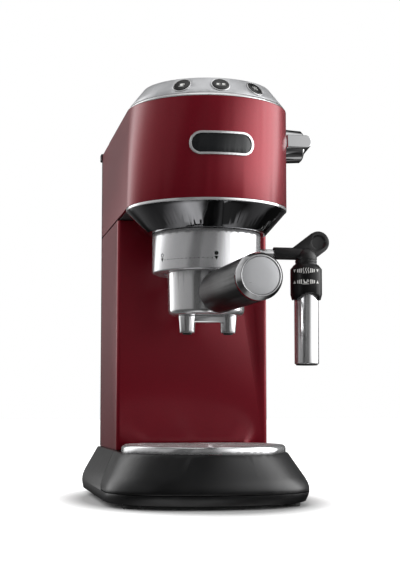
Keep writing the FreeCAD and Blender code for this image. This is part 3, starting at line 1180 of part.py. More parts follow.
def lid_parts(inner_half):
    low = dim.tank_top + dim.fit_gap
    half = HALF + dim.lid_overhang
    blank = padded("lid_blank", "XY_Plane",
                   tank_outline(dim.tank_front - dim.tank_step, dim.tank_waist, dim.lid_rear, inner_half,
                                half, dim.tank_corner), (low, low + dim.lid_thickness))
    notch, pin = dim.ear_half + dim.ear_play, dim.lid_pin_half + dim.pin_end_play
    tools = []
    for number, side in enumerate((-1, 1)):
        x = side * dim.ear_x
        tools.append(box(f"lid_notch_{number}", (x - notch, x + notch),
                         (dim.tank_rear - dim.notch_depth, FAR), (0, FAR)))
        tools.append(cone(f"lid_bore_{number}", (dim.lid_pin_radius + dim.shaft_clearance,),
                          (x - pin, x + pin), (dim.lid_pin_y, dim.lid_pin_z), "x"))
    top = low + dim.lid_thickness
    scoop = cone("lid_scoop", (dim.scoop_floor_radius, dim.scoop_radius), (top - dim.scoop_depth, top),
                 (0, dim.tank_front + dim.scoop_back))
    cut("tank_lid", blank, *tools, scoop)


def valve_parts():
    at = (0, dim.tank_valve_y, 0)
    neck = dim.valve_radius - dim.valve_lip - dim.shaft_clearance
    inside, step = dim.tank_bottom + dim.tank_wall, dim.tank_bottom - dim.valve_neck_drop
    turned("tank_valve", [
        (0, dim.valve_tip), (dim.valve_tip_radius, dim.valve_tip), (dim.valve_tip_radius, step),
        (neck, step), (neck, inside), (dim.valve_radius, inside), (dim.valve_radius, dim.valve_top),
        (0, dim.valve_top)], at)
    bore, mouth = dim.valve_tip_radius + dim.fit_gap, neck + dim.fit_gap
    rim, ledge, floor = dim.tank_bottom - dim.seat_gap, step - dim.fit_gap, dim.valve_tip - dim.fit_gap
    turned("tank_seat", [
        (dim.pipe_bore, dim.seat_bottom), (dim.seat_radius, dim.seat_bottom), (dim.seat_radius, rim),
        (mouth, rim), (mouth, ledge), (bore, ledge), (bore, floor), (dim.pipe_bore, floor)], at)


def pump_parts():
    x, y, low = dim.pump_x, dim.pump_y, dim.pump_bottom
    top = low + dim.pump_height
    radius, nozzle, head = dim.pump_radius, dim.pump_nozzle, dim.pump_head_radius
    inlet, shoulder = low - dim.nozzle_length, top + dim.pump_head_height
    outlet = shoulder + dim.nozzle_length
    turned("pump", [(0, inlet), (nozzle, inlet), (nozzle, low), (radius, low), (radius, top), (head, top),
                    (head, shoulder), (nozzle, shoulder), (nozzle, outlet), (0, outlet)], (x, y, 0))
    mount, lip, half = dim.mount_radius, dim.mount_lip, dim.bracket_half
    mounts, shelves, holes = [], [], []
    for number, start in enumerate((low + dim.mount_inset, top - dim.mount_inset - dim.mount_height)):
        end, shelf = start + dim.mount_height, start + lip
        mounts.append(turned(f"pump_mount_{number}", [
            (radius, start), (mount + lip, start), (mount + lip, shelf), (mount, shelf), (mount, end),
            (radius, end)], (x, y, 0)))
        shelves.append(box(f"bracket_shelf_{number}", (x - half, x + half),
                           (y - half + dim.bracket_trim, dim.frame_front),
                           (shelf, shelf + dim.bracket_sheet)))
        holes.append(cone(f"bracket_hole_{number}", (mount + dim.shaft_clearance,), (start, end), (x, y)))
    group("pump_mounts", *mounts)
    back = box("bracket_back", (x - half, x + half), (dim.frame_front - dim.bracket_sheet, dim.frame_front),
               (low + dim.bracket_low, top + dim.bracket_high))
    cut("pump_bracket", fuse("bracket_blank", back, *shelves), *holes)
    tube("suction_tube", dim.tube_radius, dim.tube_bend, [
        (0, dim.tank_valve_y, dim.seat_bottom), (0, dim.tank_valve_y, dim.tube_low),
        (x, dim.tank_valve_y - dim.suction_run, dim.tube_low), (x, y, dim.tube_low), (x, y, inlet)])
    tube("pressure_tube", dim.tube_radius, dim.tube_bend, [
        (x, y, outlet), (x, y, dim.tube_high), (x, dim.heater_rear, dim.tube_high)])


def heater_parts():
    half, corner = dim.heater_half, dim.heater_corner
    front, rear = -dim.heater_front, dim.heater_rear
    padded("thermoblock", "XY_Plane", [
        (corner - half, front, corner), (half - corner, front), (half, front + corner, corner),
        (half, rear - corner), (half - corner, rear, corner), (corner - half, rear),
        (-half, rear - corner, corner), (-half, front + corner)],
        (dim.heater_bottom, dim.heater_top))
    discs = []
    for number, side in enumerate((-1, 1)):
        discs.append(cone(f"thermostat_{number}", (dim.thermostat_radius,),
                          (dim.heater_top, dim.heater_top + dim.thermostat_height),
                          (dim.thermostat_x * side - dim.thermostat_shift,
                           AXIS_Y + dim.thermostat_step * side + dim.thermostat_back)))
    group("thermostats", *discs)


def board_parts():
    """The power board on four standoffs, with its relay, capacitor and terminal block."""
    back = dim.frame_front - dim.board_standoff
    front = back - dim.board_sheet
    left, right, low, high = dim.board_left, dim.board_right, dim.board_low, dim.board_high
    edge, inset = dim.board_margin, dim.relay_inset
    sheet = box("board_sheet_blank", (left, right), (front, back), (low, high))
    relay_low = low + inset + edge
    relay = box("board_relay", (left + inset, left + inset + dim.relay_width),
                (front - dim.relay_depth, front), (relay_low, relay_low + dim.relay_height))
    terminal = box("board_terminal", (left + edge, right - edge), (front - dim.terminal_depth, front),
                   (high - edge - dim.terminal_height, high - edge))
    capacitor = cone("board_capacitor", (dim.capacitor_radius,), (front - dim.capacitor_depth, front),
                     (right - dim.capacitor_inset, low + dim.relay_height), "y")
    corners = [(x, z) for z in (low + edge, high - edge) for x in (left + edge, right - edge)]
    posts = [cone(f"board_post_leg_{number}", (dim.board_post,),
                  (back - dim.board_sheet / 2, dim.frame_front), spot, "y")
             for number, spot in enumerate(corners)]
    fuse("power_board", sheet, relay, terminal, capacitor, *posts)


# ---------------------------------------------------------------- document

NODES = (
    "base_housing", "bottom_plate", "feet", "housing_screws", "switch_frame", "rocker_switch", "cord_gland",
    "drip_tray", "cup_grid", "tray_float", "column_shell", "head_shell", "head_floor", "inner_frame",
    "group_cone", "group_collar", "group_head", "group_seal", "shower_screen", "shower_screw",
    "portafilter_body", "filter_basket", "double_spout", "handle", "handle_cap",
    "panel_trim", "control_panel", "button_bezels", "left_button", "middle_button", "right_button",
    "switch_board", "tact_switches", "cup_plate", "badge_rim", "badge_plate",
    "steam_knob", "valve_spindle", "steam_valve", "steam_pipe", "wand_bush",
    "wand_pipe", "wand_grip", "frother_core", "selector_ring", "frother_sleeve",
    "water_tank", "tank_floor", "tank_lid", "tank_valve", "tank_seat", "pump", "pump_mounts", "pump_bracket",
    "suction_tube", "pressure_tube", "thermoblock", "thermostats", "power_board",
)


def build():
    base_parts()
    switch_parts()
    tray_parts()
    shell_parts()
    frame_parts()
    group_parts()
    portafilter_parts()
    panel_parts()
    badge_parts()
    knob_parts()
    wand_parts()
    tank_parts()
    pump_parts()
    heater_parts()
    board_parts()
    doc.recompute()


def check(node):
    found = [item for item in doc.Objects if item.Label == node]
    if len(found) != 1:
        raise RuntimeError(f"{node}: {len(found)} objects carry this label")
    shape = found[0].Shape
    if shape.isNull() or not shape.isValid() or not shape.Solids:
        raise RuntimeError(f"{node}: its shape is null, invalid or has no solid")
    return shape


build()
failed = [item.Name for item in doc.Objects if "Invalid" in item.State or "Error" in item.State]
if failed:
    raise RuntimeError("failed features: " + ", ".join(failed))
shapes = {node: check(node) for node in NODES}
os.makedirs("parts", exist_ok=True)
for node, shape in shapes.items():
    shape.exportStep(f"parts/{node}.step")
print(len(shapes), "nodes written")
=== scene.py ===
"""Looks of a slim pump espresso machine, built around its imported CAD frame.

Metres; +X is the user's right at the front, +Y runs back, +Z is up, and the table is z = 0.
"""
import json
import math

import bmesh
import bpy
from mathutils import Matrix, Vector


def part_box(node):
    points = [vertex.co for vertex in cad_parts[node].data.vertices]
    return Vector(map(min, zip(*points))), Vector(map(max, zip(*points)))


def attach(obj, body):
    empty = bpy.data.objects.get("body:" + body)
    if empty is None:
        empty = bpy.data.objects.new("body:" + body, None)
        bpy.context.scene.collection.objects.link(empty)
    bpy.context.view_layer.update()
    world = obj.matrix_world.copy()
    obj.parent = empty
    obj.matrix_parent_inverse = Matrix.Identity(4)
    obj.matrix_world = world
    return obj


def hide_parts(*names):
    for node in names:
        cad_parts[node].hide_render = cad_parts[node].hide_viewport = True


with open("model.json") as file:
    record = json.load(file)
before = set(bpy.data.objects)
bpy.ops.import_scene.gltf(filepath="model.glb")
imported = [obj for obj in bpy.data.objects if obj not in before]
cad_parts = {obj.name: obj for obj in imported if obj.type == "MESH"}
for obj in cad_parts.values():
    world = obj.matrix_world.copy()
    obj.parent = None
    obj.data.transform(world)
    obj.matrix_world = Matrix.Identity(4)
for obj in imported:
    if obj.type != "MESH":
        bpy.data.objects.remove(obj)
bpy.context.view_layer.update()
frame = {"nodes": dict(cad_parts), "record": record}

nodes = frame["nodes"]
record = frame["record"]
body_of = {node: body for body, members in record["behaviour"]["bodies"].items()
           for node in members}
slot_of = {part["node"]: part["material_slot"] for part in record["subparts"]}
MM = 0.001

# Where the brewing group's and the steam wand's vertical axes stand on the table.
BREW_AXIS = (0.0, -0.055)
WAND_AXIS = (0.0856, -0.022)

# ---------------------------------------------------------------- camera

CAMERA_PLACE = (-0.1771, -0.9560, 0.0704)
CAMERA_YAW, CAMERA_PITCH = math.radians(10.827), math.radians(5.574)
CAMERA_LENS, CAMERA_SENSOR = 78.72, 36


def add_camera():
    data = bpy.data.cameras.new("camera")
    data.lens = CAMERA_LENS
    data.sensor_width = CAMERA_SENSOR
    camera = bpy.data.objects.new("camera", data)
    camera.location = CAMERA_PLACE
    camera.rotation_euler = (math.radians(90) + CAMERA_PITCH, 0, -CAMERA_YAW)
    bpy.context.scene.collection.objects.link(camera)
    bpy.context.scene.camera = camera


# ---------------------------------------------------------------- node helpers

# The Mix node's sockets by number: factor, the two numbers, the two colours, the mixed colour.
MIX_FACTOR, MIX_NUMBERS, MIX_COLOURS, MIXED_COLOUR = 0, (2, 3), (6, 7), 2


def new_material(name, colour, metallic, roughness, **sockets):
    """A Principled material, its tree and shader; other sockets are named with _ for a space."""
    made = bpy.data.materials.new(name)
    made.use_nodes = True
    shader = made.node_tree.nodes["Principled BSDF"]
    shader.inputs["Base Color"].default_value = (*colour, 1)
    shader.inputs["Metallic"].default_value = metallic
    shader.inputs["Roughness"].default_value = roughness
    for socket, value in sockets.items():
        shader.inputs[socket.replace("_", " ")].default_value = value
    return made, made.node_tree, shader


def add(tree, kind, links=(), **values):
    """A node with its values set and its inputs linked; links pairs an input with a socket."""
    node = tree.nodes.new("ShaderNode" + kind)
    for name, value in values.items():
        setattr(node, name, value)
    for socket, source in links:
        tree.links.new(source, node.inputs[socket])
    return node


def set_inputs(node, **values):
    for name, value in values.items():
        node.inputs[name.replace("_", " ")].default_value = value
    return node


def place_of(tree, stretch=(1, 1, 1)):
    """The point on the piece in metres, scaled along each axis."""
    where = add(tree, "TexCoord")
    mapping = add(tree, "Mapping", [("Vector", where.outputs["Object"])])
    mapping.inputs["Scale"].default_value = stretch
    return mapping.outputs["Vector"]


def feed(tree, socket, value):
    """Links a socket to the input, or sets the input to a value."""
    if isinstance(value, bpy.types.NodeSocket):
        tree.links.new(value, socket)
    else:
        socket.default_value = value


def maths(tree, operation, first, second):
    """One step of arithmetic on two values; each is a socket or a number."""
    made = add(tree, "Math", operation=operation)
    for index, value in enumerate((first, second)):
        feed(tree, made.inputs[index], value)
    return made.outputs[0]


def round_place(tree, centre, around, along, outward):
    """The point about a vertical axis as its angle, height and radius, each scaled."""
    where = add(tree, "TexCoord")
    move = add(tree, "VectorMath", [(0, where.outputs["Object"])], operation="SUBTRACT")
    move.inputs[1].default_value = (*centre, 0)
    parts = add(tree, "SeparateXYZ", [(0, move.outputs[0])])
    angle = maths(tree, "ARCTAN2", parts.outputs["Y"], parts.outputs["X"])
    flat = add(tree, "CombineXYZ", [("X", parts.outputs["X"]), ("Y", parts.outputs["Y"])])
    radius = add(tree, "VectorMath", [(0, flat.outputs[0])], operation="LENGTH")
    pairs = ((angle, around), (parts.outputs["Z"], along), (radius.outputs["Value"], outward))
    made = [maths(tree, "MULTIPLY", source, factor) for source, factor in pairs]
    return add(tree, "CombineXYZ", list(zip("XYZ", made))).outputs[0]


def noise(tree, place, scale, detail=2.0, rough=0.5):
    made = add(tree, "TexNoise", [("Vector", place)])
    set_inputs(made, Scale=scale, Detail=detail, Roughness=rough)
    return made.outputs["Fac"]


def ranged(tree, source, low, high, start=0.3, end=0.7):
    """A level that goes from low to high as its source goes from start to end."""
    made = add(tree, "MapRange", [("Value", source)])
    set_inputs(made, From_Min=start, From_Max=end, To_Min=low, To_Max=high)
    return made.outputs["Result"]


def blended(tree, factor, first, second):
    """A colour between two; each is a socket or three numbers."""
    made = add(tree, "Mix", [(MIX_FACTOR, factor)], data_type="RGBA")
    for index, colour in zip(MIX_COLOURS, (first, second)):
        whole = colour if isinstance(colour, bpy.types.NodeSocket) else (*colour, 1)
        feed(tree, made.inputs[index], whole)
    return made.outputs[MIXED_COLOUR]


def bumped(tree, shader, height, strength, depth, under=None):
    """Relief on the shader, laid over the relief under it; depth is in metres."""
    made = add(tree, "Bump", [("Height", height)])
    set_inputs(made, Strength=strength, Distance=depth)
    if under is not None:
        tree.links.new(under, made.inputs["Normal"])
    tree.links.new(made.outputs[0], shader.inputs["Normal"])
    return made.outputs[0]


# ---------------------------------------------------------------- materials

# Patches of colour and of wear to a metre.
COLOUR_PATCHES, WEAR_PATCHES = 45.0, 148.5
# How fine brushed lines are along the steel rings, as turns to a radian and lines to a metre.
BRUSHED_TURNS, BRUSHED_LINES = 2.0, 5200
# The same for flat brushed plates, along the lines and across them.
BRUSHED_PLATE = (14, 1400, 1400)


def finish(name, colour, shade, metallic, rough, grain, stretch=(1, 1, 1), place=None, **sockets):
    """A surface with patches of two close colours, roughness that drifts, and a fine grain.

    rough is its lowest and highest roughness; grain is scale, strength and depth in metres.
    """
    made, tree, shader = new_material(name, colour, metallic, sum(rough) / 2, **sockets)
    scale, strength, depth = grain
    whole = place_of(tree)
    broad = ranged(tree, noise(tree, whole, COLOUR_PATCHES, 3.0), 0, 1)
    tree.links.new(blended(tree, broad, colour, shade), shader.inputs["Base Color"])
    fine = noise(tree, place(tree) if place else place_of(tree, stretch), scale, 3.0, 0.6)
    wear = maths(tree, "ADD", maths(tree, "MULTIPLY", noise(tree, whole, WEAR_PATCHES, 4.0), 0.5),
                 maths(tree, "MULTIPLY", fine, 0.5))
    tree.links.new(ranged(tree, wear, *rough), shader.inputs["Roughness"])
    bumped(tree, shader, fine, strength, depth)
    return made, tree, shader


def red_paint():
    """Dark red lacquer with a fine metallic flake, under a clear coat with a slight orange peel."""
    deep, bright = (0.18, 0.0016, 0.010), (0.26, 0.003, 0.016)
    flakes_in_metre, drift_in_metre, peel_in_metre = 3800.0, 14.0, 420.0
    made, tree, shader = new_material("red_paint", deep, 0.55, 0.4, Coat_Weight=0.6,
                                      Coat_Roughness=0.22, Coat_IOR=1.5, Specular_IOR_Level=0.3)
    whole = place_of(tree)
    flakes = add(tree, "TexVoronoi", [("Vector", whole)])
    set_inputs(flakes, Scale=flakes_in_metre)
    spark, gloss, tilt = add(tree, "SeparateColor", [(0, flakes.outputs["Color"])]).outputs
    drift = noise(tree, whole, drift_in_metre)
    level = maths(tree, "ADD", maths(tree, "MULTIPLY", spark, 0.5),
                  maths(tree, "MULTIPLY", drift, 0.5))
    tree.links.new(blended(tree, ranged(tree, level, 0, 1, 0.15, 0.85), deep, bright),
                   shader.inputs["Base Color"])
    tree.links.new(ranged(tree, gloss, 0.36, 0.46, 0, 1), shader.inputs["Roughness"])
    flake_relief = bumped(tree, shader, tilt, 0.05, 0.00005)
    bumped(tree, shader, noise(tree, whole, peel_in_metre), 0.03, 0.0004, flake_relief)
    return made


def grid_steel():
    """Pressed steel: brushed across its top, polished round its rolled edge."""
    polished, brushed_top = (0.86, 0.86, 0.87), (0.74, 0.74, 0.75)
    made, tree, shader = new_material("bright_steel", (0.80, 0.80, 0.81), 0.86, 0.3)
    upward = add(tree, "SeparateXYZ", [(0, add(tree, "TexCoord").outputs["Normal"])])
    lines = noise(tree, place_of(tree, (18, 1500, 1500)), 1.0, 3.0)
    flat = ranged(tree, upward.outputs["Z"], 0, 1, 0.93, 0.99)
    brushed = ranged(tree, lines, 0.34, 0.46)
    smudge = ranged(tree, noise(tree, place_of(tree), 60.0, 4.0), 0.10, 0.17)
    rough = add(tree, "Mix", [(MIX_FACTOR, flat), *zip(MIX_NUMBERS, (smudge, brushed))])
    tree.links.new(rough.outputs[0], shader.inputs["Roughness"])
    tree.links.new(blended(tree, flat, polished, brushed_top), shader.inputs["Base Color"])
    bumped(tree, shader, maths(tree, "MULTIPLY", lines, flat), 0.12, 0.00006)
    return made


def board():
    """A green circuit board with bright pads and traces."""
    pad, tracks_in_metre = (0.55, 0.50, 0.36), 260
    made, tree, shader = finish("board_green", (0.012, 0.085, 0.032), (0.016, 0.11, 0.045), 0,
                                (0.34, 0.5), (900.0, 0.1, 0.0001))
    cells = add(tree, "TexVoronoi", [("Vector", place_of(tree, (tracks_in_metre,) * 3))],
                distance="CHEBYCHEV")
    track = ranged(tree, cells.outputs["Distance"], 1, 0, 0.10, 0.14)
    green = shader.inputs["Base Color"].links[0].from_socket
    tree.links.new(blended(tree, track, green, pad), shader.inputs["Base Color"])
    return made


def smoke():
    """Smoky clear moulding."""
    return finish("tank_smoke", (0.055, 0.056, 0.060), (0.045, 0.046, 0.050), 0, (0.10, 0.17),
                  (260.0, 0.05, 0.0003), Transmission_Weight=0.75, IOR=1.49)[0]


def around_brew(tree):
    return round_place(tree, BREW_AXIS, BRUSHED_TURNS, BRUSHED_LINES, BRUSHED_LINES)


def all_materials():
    """Every slot's finish by name; a recipe gives colour, shade, metallic, roughness and grain."""
    made = {"red_paint": red_paint(), "bright_steel": grid_steel(), "board_green": board(),
            "tank_smoke": smoke()}
    moulded = (2600.0, 0.16, 0.00012)
    smooth = (700.0, 0.03, 0.0002)
    recipes = {
        "base_black": ((0.0055, 0.0055, 0.006), (0.0075, 0.0075, 0.008), 0, (0.30, 0.38), moulded),
        "foot_rubber": ((0.012, 0.012, 0.012), (0.02, 0.02, 0.02), 0, (0.7, 0.85),
                        (1500.0, 0.4, 0.0002)),
        "float_red": ((0.50, 0.010, 0.012), (0.42, 0.008, 0.010), 0, (0.22, 0.32), smooth),
        "grey_plastic": ((0.035, 0.035, 0.037), (0.045, 0.045, 0.047), 0, (0.5, 0.62), moulded),
        "cast_aluminium": ((0.42, 0.42, 0.43), (0.52, 0.52, 0.53), 1, (0.45, 0.62),
                           (1100.0, 0.35, 0.0003)),
        "seal_rubber": ((0.016, 0.016, 0.016), (0.024, 0.024, 0.024), 0, (0.62, 0.75),
                        (1800.0, 0.25, 0.0001)),
        "handle_black": ((0.005, 0.005, 0.0052), (0.007, 0.007, 0.0072), 0, (0.27, 0.35), moulded),
        "button_black": ((0.010, 0.010, 0.0105), (0.013, 0.013, 0.0135), 0, (0.16, 0.24), smooth),
        "badge_black": ((0.010, 0.011, 0.012), (0.013, 0.014, 0.015), 0, (0.18, 0.26), smooth),
        "wand_rubber": ((0.009, 0.009, 0.0095), (0.012, 0.012, 0.0125), 0, (0.38, 0.5), moulded),
        "pump_grey": ((0.16, 0.16, 0.165), (0.21, 0.21, 0.215), 0, (0.45, 0.6), moulded),
        "tube_white": ((0.72, 0.72, 0.70), (0.66, 0.66, 0.64), 0, (0.32, 0.45), smooth),
        "black_chrome": ((0.23, 0.23, 0.24), (0.25, 0.25, 0.26), 1, (0.05, 0.09), smooth),
        "chrome": ((0.80, 0.80, 0.81), (0.76, 0.76, 0.77), 0.86, (0.10, 0.15), smooth),
        "polished_chrome": ((0.74, 0.74, 0.75), (0.70, 0.70, 0.71), 1, (0.05, 0.09), smooth),
        "bright_trim": ((0.88, 0.88, 0.89), (0.84, 0.84, 0.85), 0.72, (0.07, 0.13), smooth),
        "brass": ((0.62, 0.40, 0.14), (0.56, 0.35, 0.12), 1, (0.28, 0.4), (900.0, 0.2, 0.0001)),
        "steel": ((0.60, 0.60, 0.61), (0.54, 0.54, 0.55), 1, (0.26, 0.38), (1.0, 0.15, 0.00006)),
        "satin_silver": ((0.60, 0.605, 0.62), (0.56, 0.565, 0.58), 0.55, (0.27, 0.34),
                         (1.0, 0.10, 0.00005)),
        "satin_steel": ((0.72, 0.72, 0.735), (0.69, 0.69, 0.705), 0.76, (0.16, 0.22),
                        (1.0, 0.08, 0.00005)),
    }
    extras = {"steel": {"stretch": BRUSHED_PLATE}, "satin_silver": {"stretch": BRUSHED_PLATE},
              "satin_steel": {"place": around_brew}, "handle_black": {"Specular_IOR_Level": 0.22}}
    for name, recipe in recipes.items():
        made[name] = finish(name, *recipe, **extras.get(name, {}))[0]
    return made


materials = all_materials()

# ---------------------------------------------------------------- pieces in the frame's shapes

# How wide the rounding of each of these nodes' edges is, in metres.
EASED = {
    "base_housing": 0.0006, "bottom_plate": 0.0004, "feet": 0.0006, "housing_screws": 0.0003,
    "switch_frame": 0.0005, "rocker_switch": 0.0004, "cord_gland": 0.0003, "drip_tray": 0.0006,
    "cup_grid": 0.0003, "tray_float": 0.0006, "column_shell": 0.0005, "head_shell": 0.0005,
    "head_floor": 0.0004, "group_cone": 0.0004, "group_collar": 0.0004, "portafilter_body": 0.0005,
    "double_spout": 0.0005, "handle": 0.0005, "panel_trim": 0.0003,
    "control_panel": 0.0004, "button_bezels": 0.0001, "left_button": 0.0002,
    "middle_button": 0.0002, "right_button": 0.0002, "cup_plate": 0.0003, "badge_rim": 0.0004,
    "badge_plate": 0.0002, "wand_bush": 0.0004, "wand_pipe": 0.0002, "wand_grip": 0.0006,
    "frother_core": 0.0003, "selector_ring": 0.0005, "frother_sleeve": 0.0002,
    "water_tank": 0.0006, "tank_lid": 0.0006,
}
# Edges that turn by more than this are rounded over, and faces that turn by less than FLAT are one.
SHARP, FLAT = math.radians(30), math.radians(0.3)
# Corners nearer than this are one corner.
SAME_PLACE = 1e-6


def add_piece(name, mesh, body, slot, *replaced, look=None):
    """A mesh as a piece that rides on a body, in its slot's material unless look names another."""
    for face in mesh.polygons:
        face.use_smooth = True
    piece = bpy.data.objects.new(name, mesh)
    bpy.context.scene.collection.objects.link(piece)
    mesh.materials.clear()
    mesh.materials.append(materials[look or slot])
    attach(piece, body)
    if replaced:
        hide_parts(*replaced)
    return piece


def ease(piece, width, segments=2):
    bevel = piece.modifiers.new("edges", "BEVEL")
    bevel.width = width
    bevel.segments = segments
    bevel.limit_method = "ANGLE"
    bevel.angle_limit = SHARP
    bevel.harden_normals = True


def frame_copy(node):
    """The CAD node's shape as clean faces in a new bmesh."""
    shape = bmesh.new()
    shape.from_mesh(nodes[node].data)
    bmesh.ops.remove_doubles(shape, verts=shape.verts, dist=SAME_PLACE)
    bmesh.ops.dissolve_limit(shape, angle_limit=FLAT, verts=shape.verts, edges=shape.edges)
    return shape


def to_mesh(shape, name):
    mesh = bpy.data.meshes.new(name)
    shape.to_mesh(mesh)
    shape.free()
    return mesh


def eased(node, width):
    """The CAD node's shape with its sharp edges rounded over."""
    name = node + "_eased"
    mesh = to_mesh(frame_copy(node), name)
    ease(add_piece(name, mesh, body_of[node], slot_of[node], node), width)


for node, thing in nodes.items():
    thing.data.materials.clear()
    thing.data.materials.append(materials[slot_of[node]])
for node, width in EASED.items():
    eased(node, width)

# ---------------------------------------------------------------- printed marks and icons

# Marks stand this far off the surface under them, in metres.
INK = 0.06 * MM
# A mark's outline follows the surface at points no further apart than this, in millimetres.
MARK_STEP = 0.8
INK_SLOT = "tube_white"
# Corners within this of a flat face's plane are the face's own, in metres.
IN_FACE = 1e-5


def dense(outline):
    """A closed outline with points added so that none are further apart than MARK_STEP."""
    made = []
    for start, end in zip(outline, outline[1:] + outline[:1]):
        parts = max(1, math.ceil(math.dist(start, end) / MARK_STEP))
        for number in range(parts):
            share = number / parts
            made.append(tuple(a + (b - a) * share for a, b in zip(start, end)))
    return made


def marks(name, node, shapes, put, slot=INK_SLOT):
    """Flat closed shapes in millimetres, laid on a node by put(across, up, off) as thin plates."""
    made = bmesh.new()
    for outline in map(dense, shapes):
        top = [made.verts.new(put(x, y, INK)) for x, y in outline]
        low = [made.verts.new(put(x, y, -INK)) for x, y in outline]
        made.faces.new(top)
        made.faces.new(low[::-1])
        for number in range(len(outline)):
            after = (number + 1) % len(outline)
            made.faces.new((low[number], low[after], top[after], top[number]))
    bmesh.ops.triangulate(made, faces=[face for face in made.faces if len(face.verts) > 4])
    bmesh.ops.recalc_face_normals(made, faces=made.faces)
    mesh = to_mesh(made, name)
    add_piece(name, mesh, body_of[node], slot)
    for face in mesh.polygons:
        face.use_smooth = False


def bar(x, y, width, height):
    """A rectangle about a centre."""
    return [(x - width / 2, y - height / 2), (x + width / 2, y - height / 2),
            (x + width / 2, y + height / 2), (x - width / 2, y + height / 2)]


def down_arrow(x, y, width, height):
    return [(x, y - height / 2), (x + width / 2, y + height / 2), (x - width / 2, y + height / 2)]


def up_arrow(x, y, width, height):
    return [(x, y + height / 2), (x - width / 2, y - height / 2), (x + width / 2, y - height / 2)]


def ring(x, y, outer, inner, start=0, end=360, parts=20):
    """A band round a centre between two angles, as short closed shapes."""
    made = []
    angles = [math.radians(start + (end - start) * number / parts) for number in range(parts + 1)]
    for low, high in zip(angles, angles[1:]):
        made.append([(x + r * math.cos(a), y + r * math.sin(a))
                     for a, r in ((low, inner), (low, outer), (high, outer), (high, inner))])
    return made


def on_cylinder(centre, radius):
    """Across runs round the surface from its front, positive to the right; up is a height."""

    def put(across, height, off):
        turn = across * MM / radius
        reach = radius + off
        return (centre[0] + math.sin(turn) * reach, centre[1] - math.cos(turn) * reach, height * MM)

    return put


def on_face(node, facing):
    """Across and up lie in the flat face of a node that looks the way of facing."""
    mesh = nodes[node].data
    facing = Vector(facing).normalized()
    normal = max(mesh.polygons, key=lambda face: face.normal.dot(facing)).normal.copy()
    level = max(vertex.co.dot(normal) for vertex in mesh.vertices)
    edge = [vertex.co for vertex in mesh.vertices if vertex.co.dot(normal) > level - IN_FACE]
    low, high = (Vector([pick(places) for places in zip(*edge)]) for pick in (min, max))
    centre = (low + high) / 2
    side = Vector((0, 0, 1)).cross(normal).normalized()
    up = normal.cross(side)
    return lambda x, y, off: centre + side * (x * MM) + up * (y * MM) + normal * off


def cup_icon(x, y, size):
    """A small cup with a handle on its saucer, seen from the side."""
    half, foot, tall = 0.5 * size, 0.36 * size, 0.42 * size
    bowl = [(x - half, y + tall), (x - foot, y - tall), (x + foot, y - tall), (x + half, y + tall)]
    handle = ring(x + half, y + 0.1 * size, 0.30 * size, 0.17 * size, -80, 80, 8)
    saucer = bar(x, y - tall - 0.16 * size, 1.5 * size, 0.12 * size)
    return [bowl, saucer] + handle


def wisps(x, y, size):
    """Three rising wisps of steam."""
    made = []
    bends, bend, apart, sway, half = 8, 0.9, 0.42 * size, 0.09 * size, 0.06 * size
    for number in (-1, 0, 1):
        line = [(x + number * apart + sway * math.sin(step * bend), y + size * (step / bends - 0.5))
                for step in range(bends + 1)]
        for (x0, y0), (x1, y1) in zip(line, line[1:]):
            made.append([(x0 - half, y0), (x0 + half, y0), (x1 + half, y1), (x1 - half, y1)])
    return made


def button_icons():
    """One cup, two cups and steam."""
    icons = (
        ("left", (-0.3, -0.6, 0.75), cup_icon(0, 0, 2.8)),
        ("middle", (0, -0.6, 0.8), cup_icon(-2.0, 0, 2.1) + cup_icon(2.0, 0, 2.1)),
        ("right", (0.3, -0.6, 0.75), wisps(0, 0, 3.6)),
    )
    for side, outward, shapes in icons:
        node = side + "_button"
        marks(side + "_icon", node, shapes, on_face(node, outward))


def collar_scale():
    """Open and shut marks joined by dots, for turning the filter holder in."""
    low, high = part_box("group_collar")
    radius = (high.x - low.x) / 2
    line, above, first, last = 176.0, 3.4, -44.5, -0.5
    arrow, dot, parts = (3.0, 2.8), (0.8, 0.6), 14
    outer, inner = 1.5, 0.95
    shapes = [down_arrow(x, line, *arrow) for x in (first, last)]
    shapes += [bar(first + (last - first) * number / parts, line, *dot)
               for number in range(1, parts)]
    shapes += ring(first, line + above, outer, inner)
    shapes += ring(last, line + above, outer, 0.0)
    marks("collar_scale", "group_collar", shapes, on_cylinder(BREW_AXIS, radius), "badge_black")


def selector_marks():
    """Two rows on the ring: steam above, a cup below, each between arrows and bars."""
    low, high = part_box("selector_ring")
    radius = (high.x - low.x) / 2
    upper, lower, cup_line = 175.2, 166.6, 166.8
    middle, reach, arrow = -3.4, 9.8, 2.4
    bars_from, bars_apart, bar_wide, bar_tall, bar_less = 3.7, 1.5, 0.9, 3.4, 0.5
    shapes = []
    for line, pointer in ((upper, down_arrow), (lower, up_arrow)):
        shapes += [pointer(middle + side * reach, line, arrow, arrow) for side in (-1, 1)]
        shapes += [bar(middle + side * (bars_from + step * bars_apart), line, bar_wide,
                       bar_tall - bar_less * step) for side in (-1, 1) for step in range(3)]
    shapes += wisps(middle, upper, 4.4) + cup_icon(middle - 0.4, cup_line, 3.4)
    marks("selector_marks", "selector_ring", shapes, on_cylinder(WAND_AXIS, radius))


def switch_marks():
    """On and off, one on each half of the rocker."""
    node, lean = "rocker_switch", 0.2
    marks("switch_on", node, [bar(0, 0, 0.7, 4.0)], on_face(node, (-lean, 1, 0)))
    marks("switch_off", node, ring(0, 0, 2.0, 1.35), on_face(node, (lean, 1, 0)))


# ---------------------------------------------------------------- turned pieces

# How wide the rounding of a turned piece's own edges is, in metres, and its facets in one turn.
TURNED_EDGE, TURNED_PARTS = 0.0001, 128


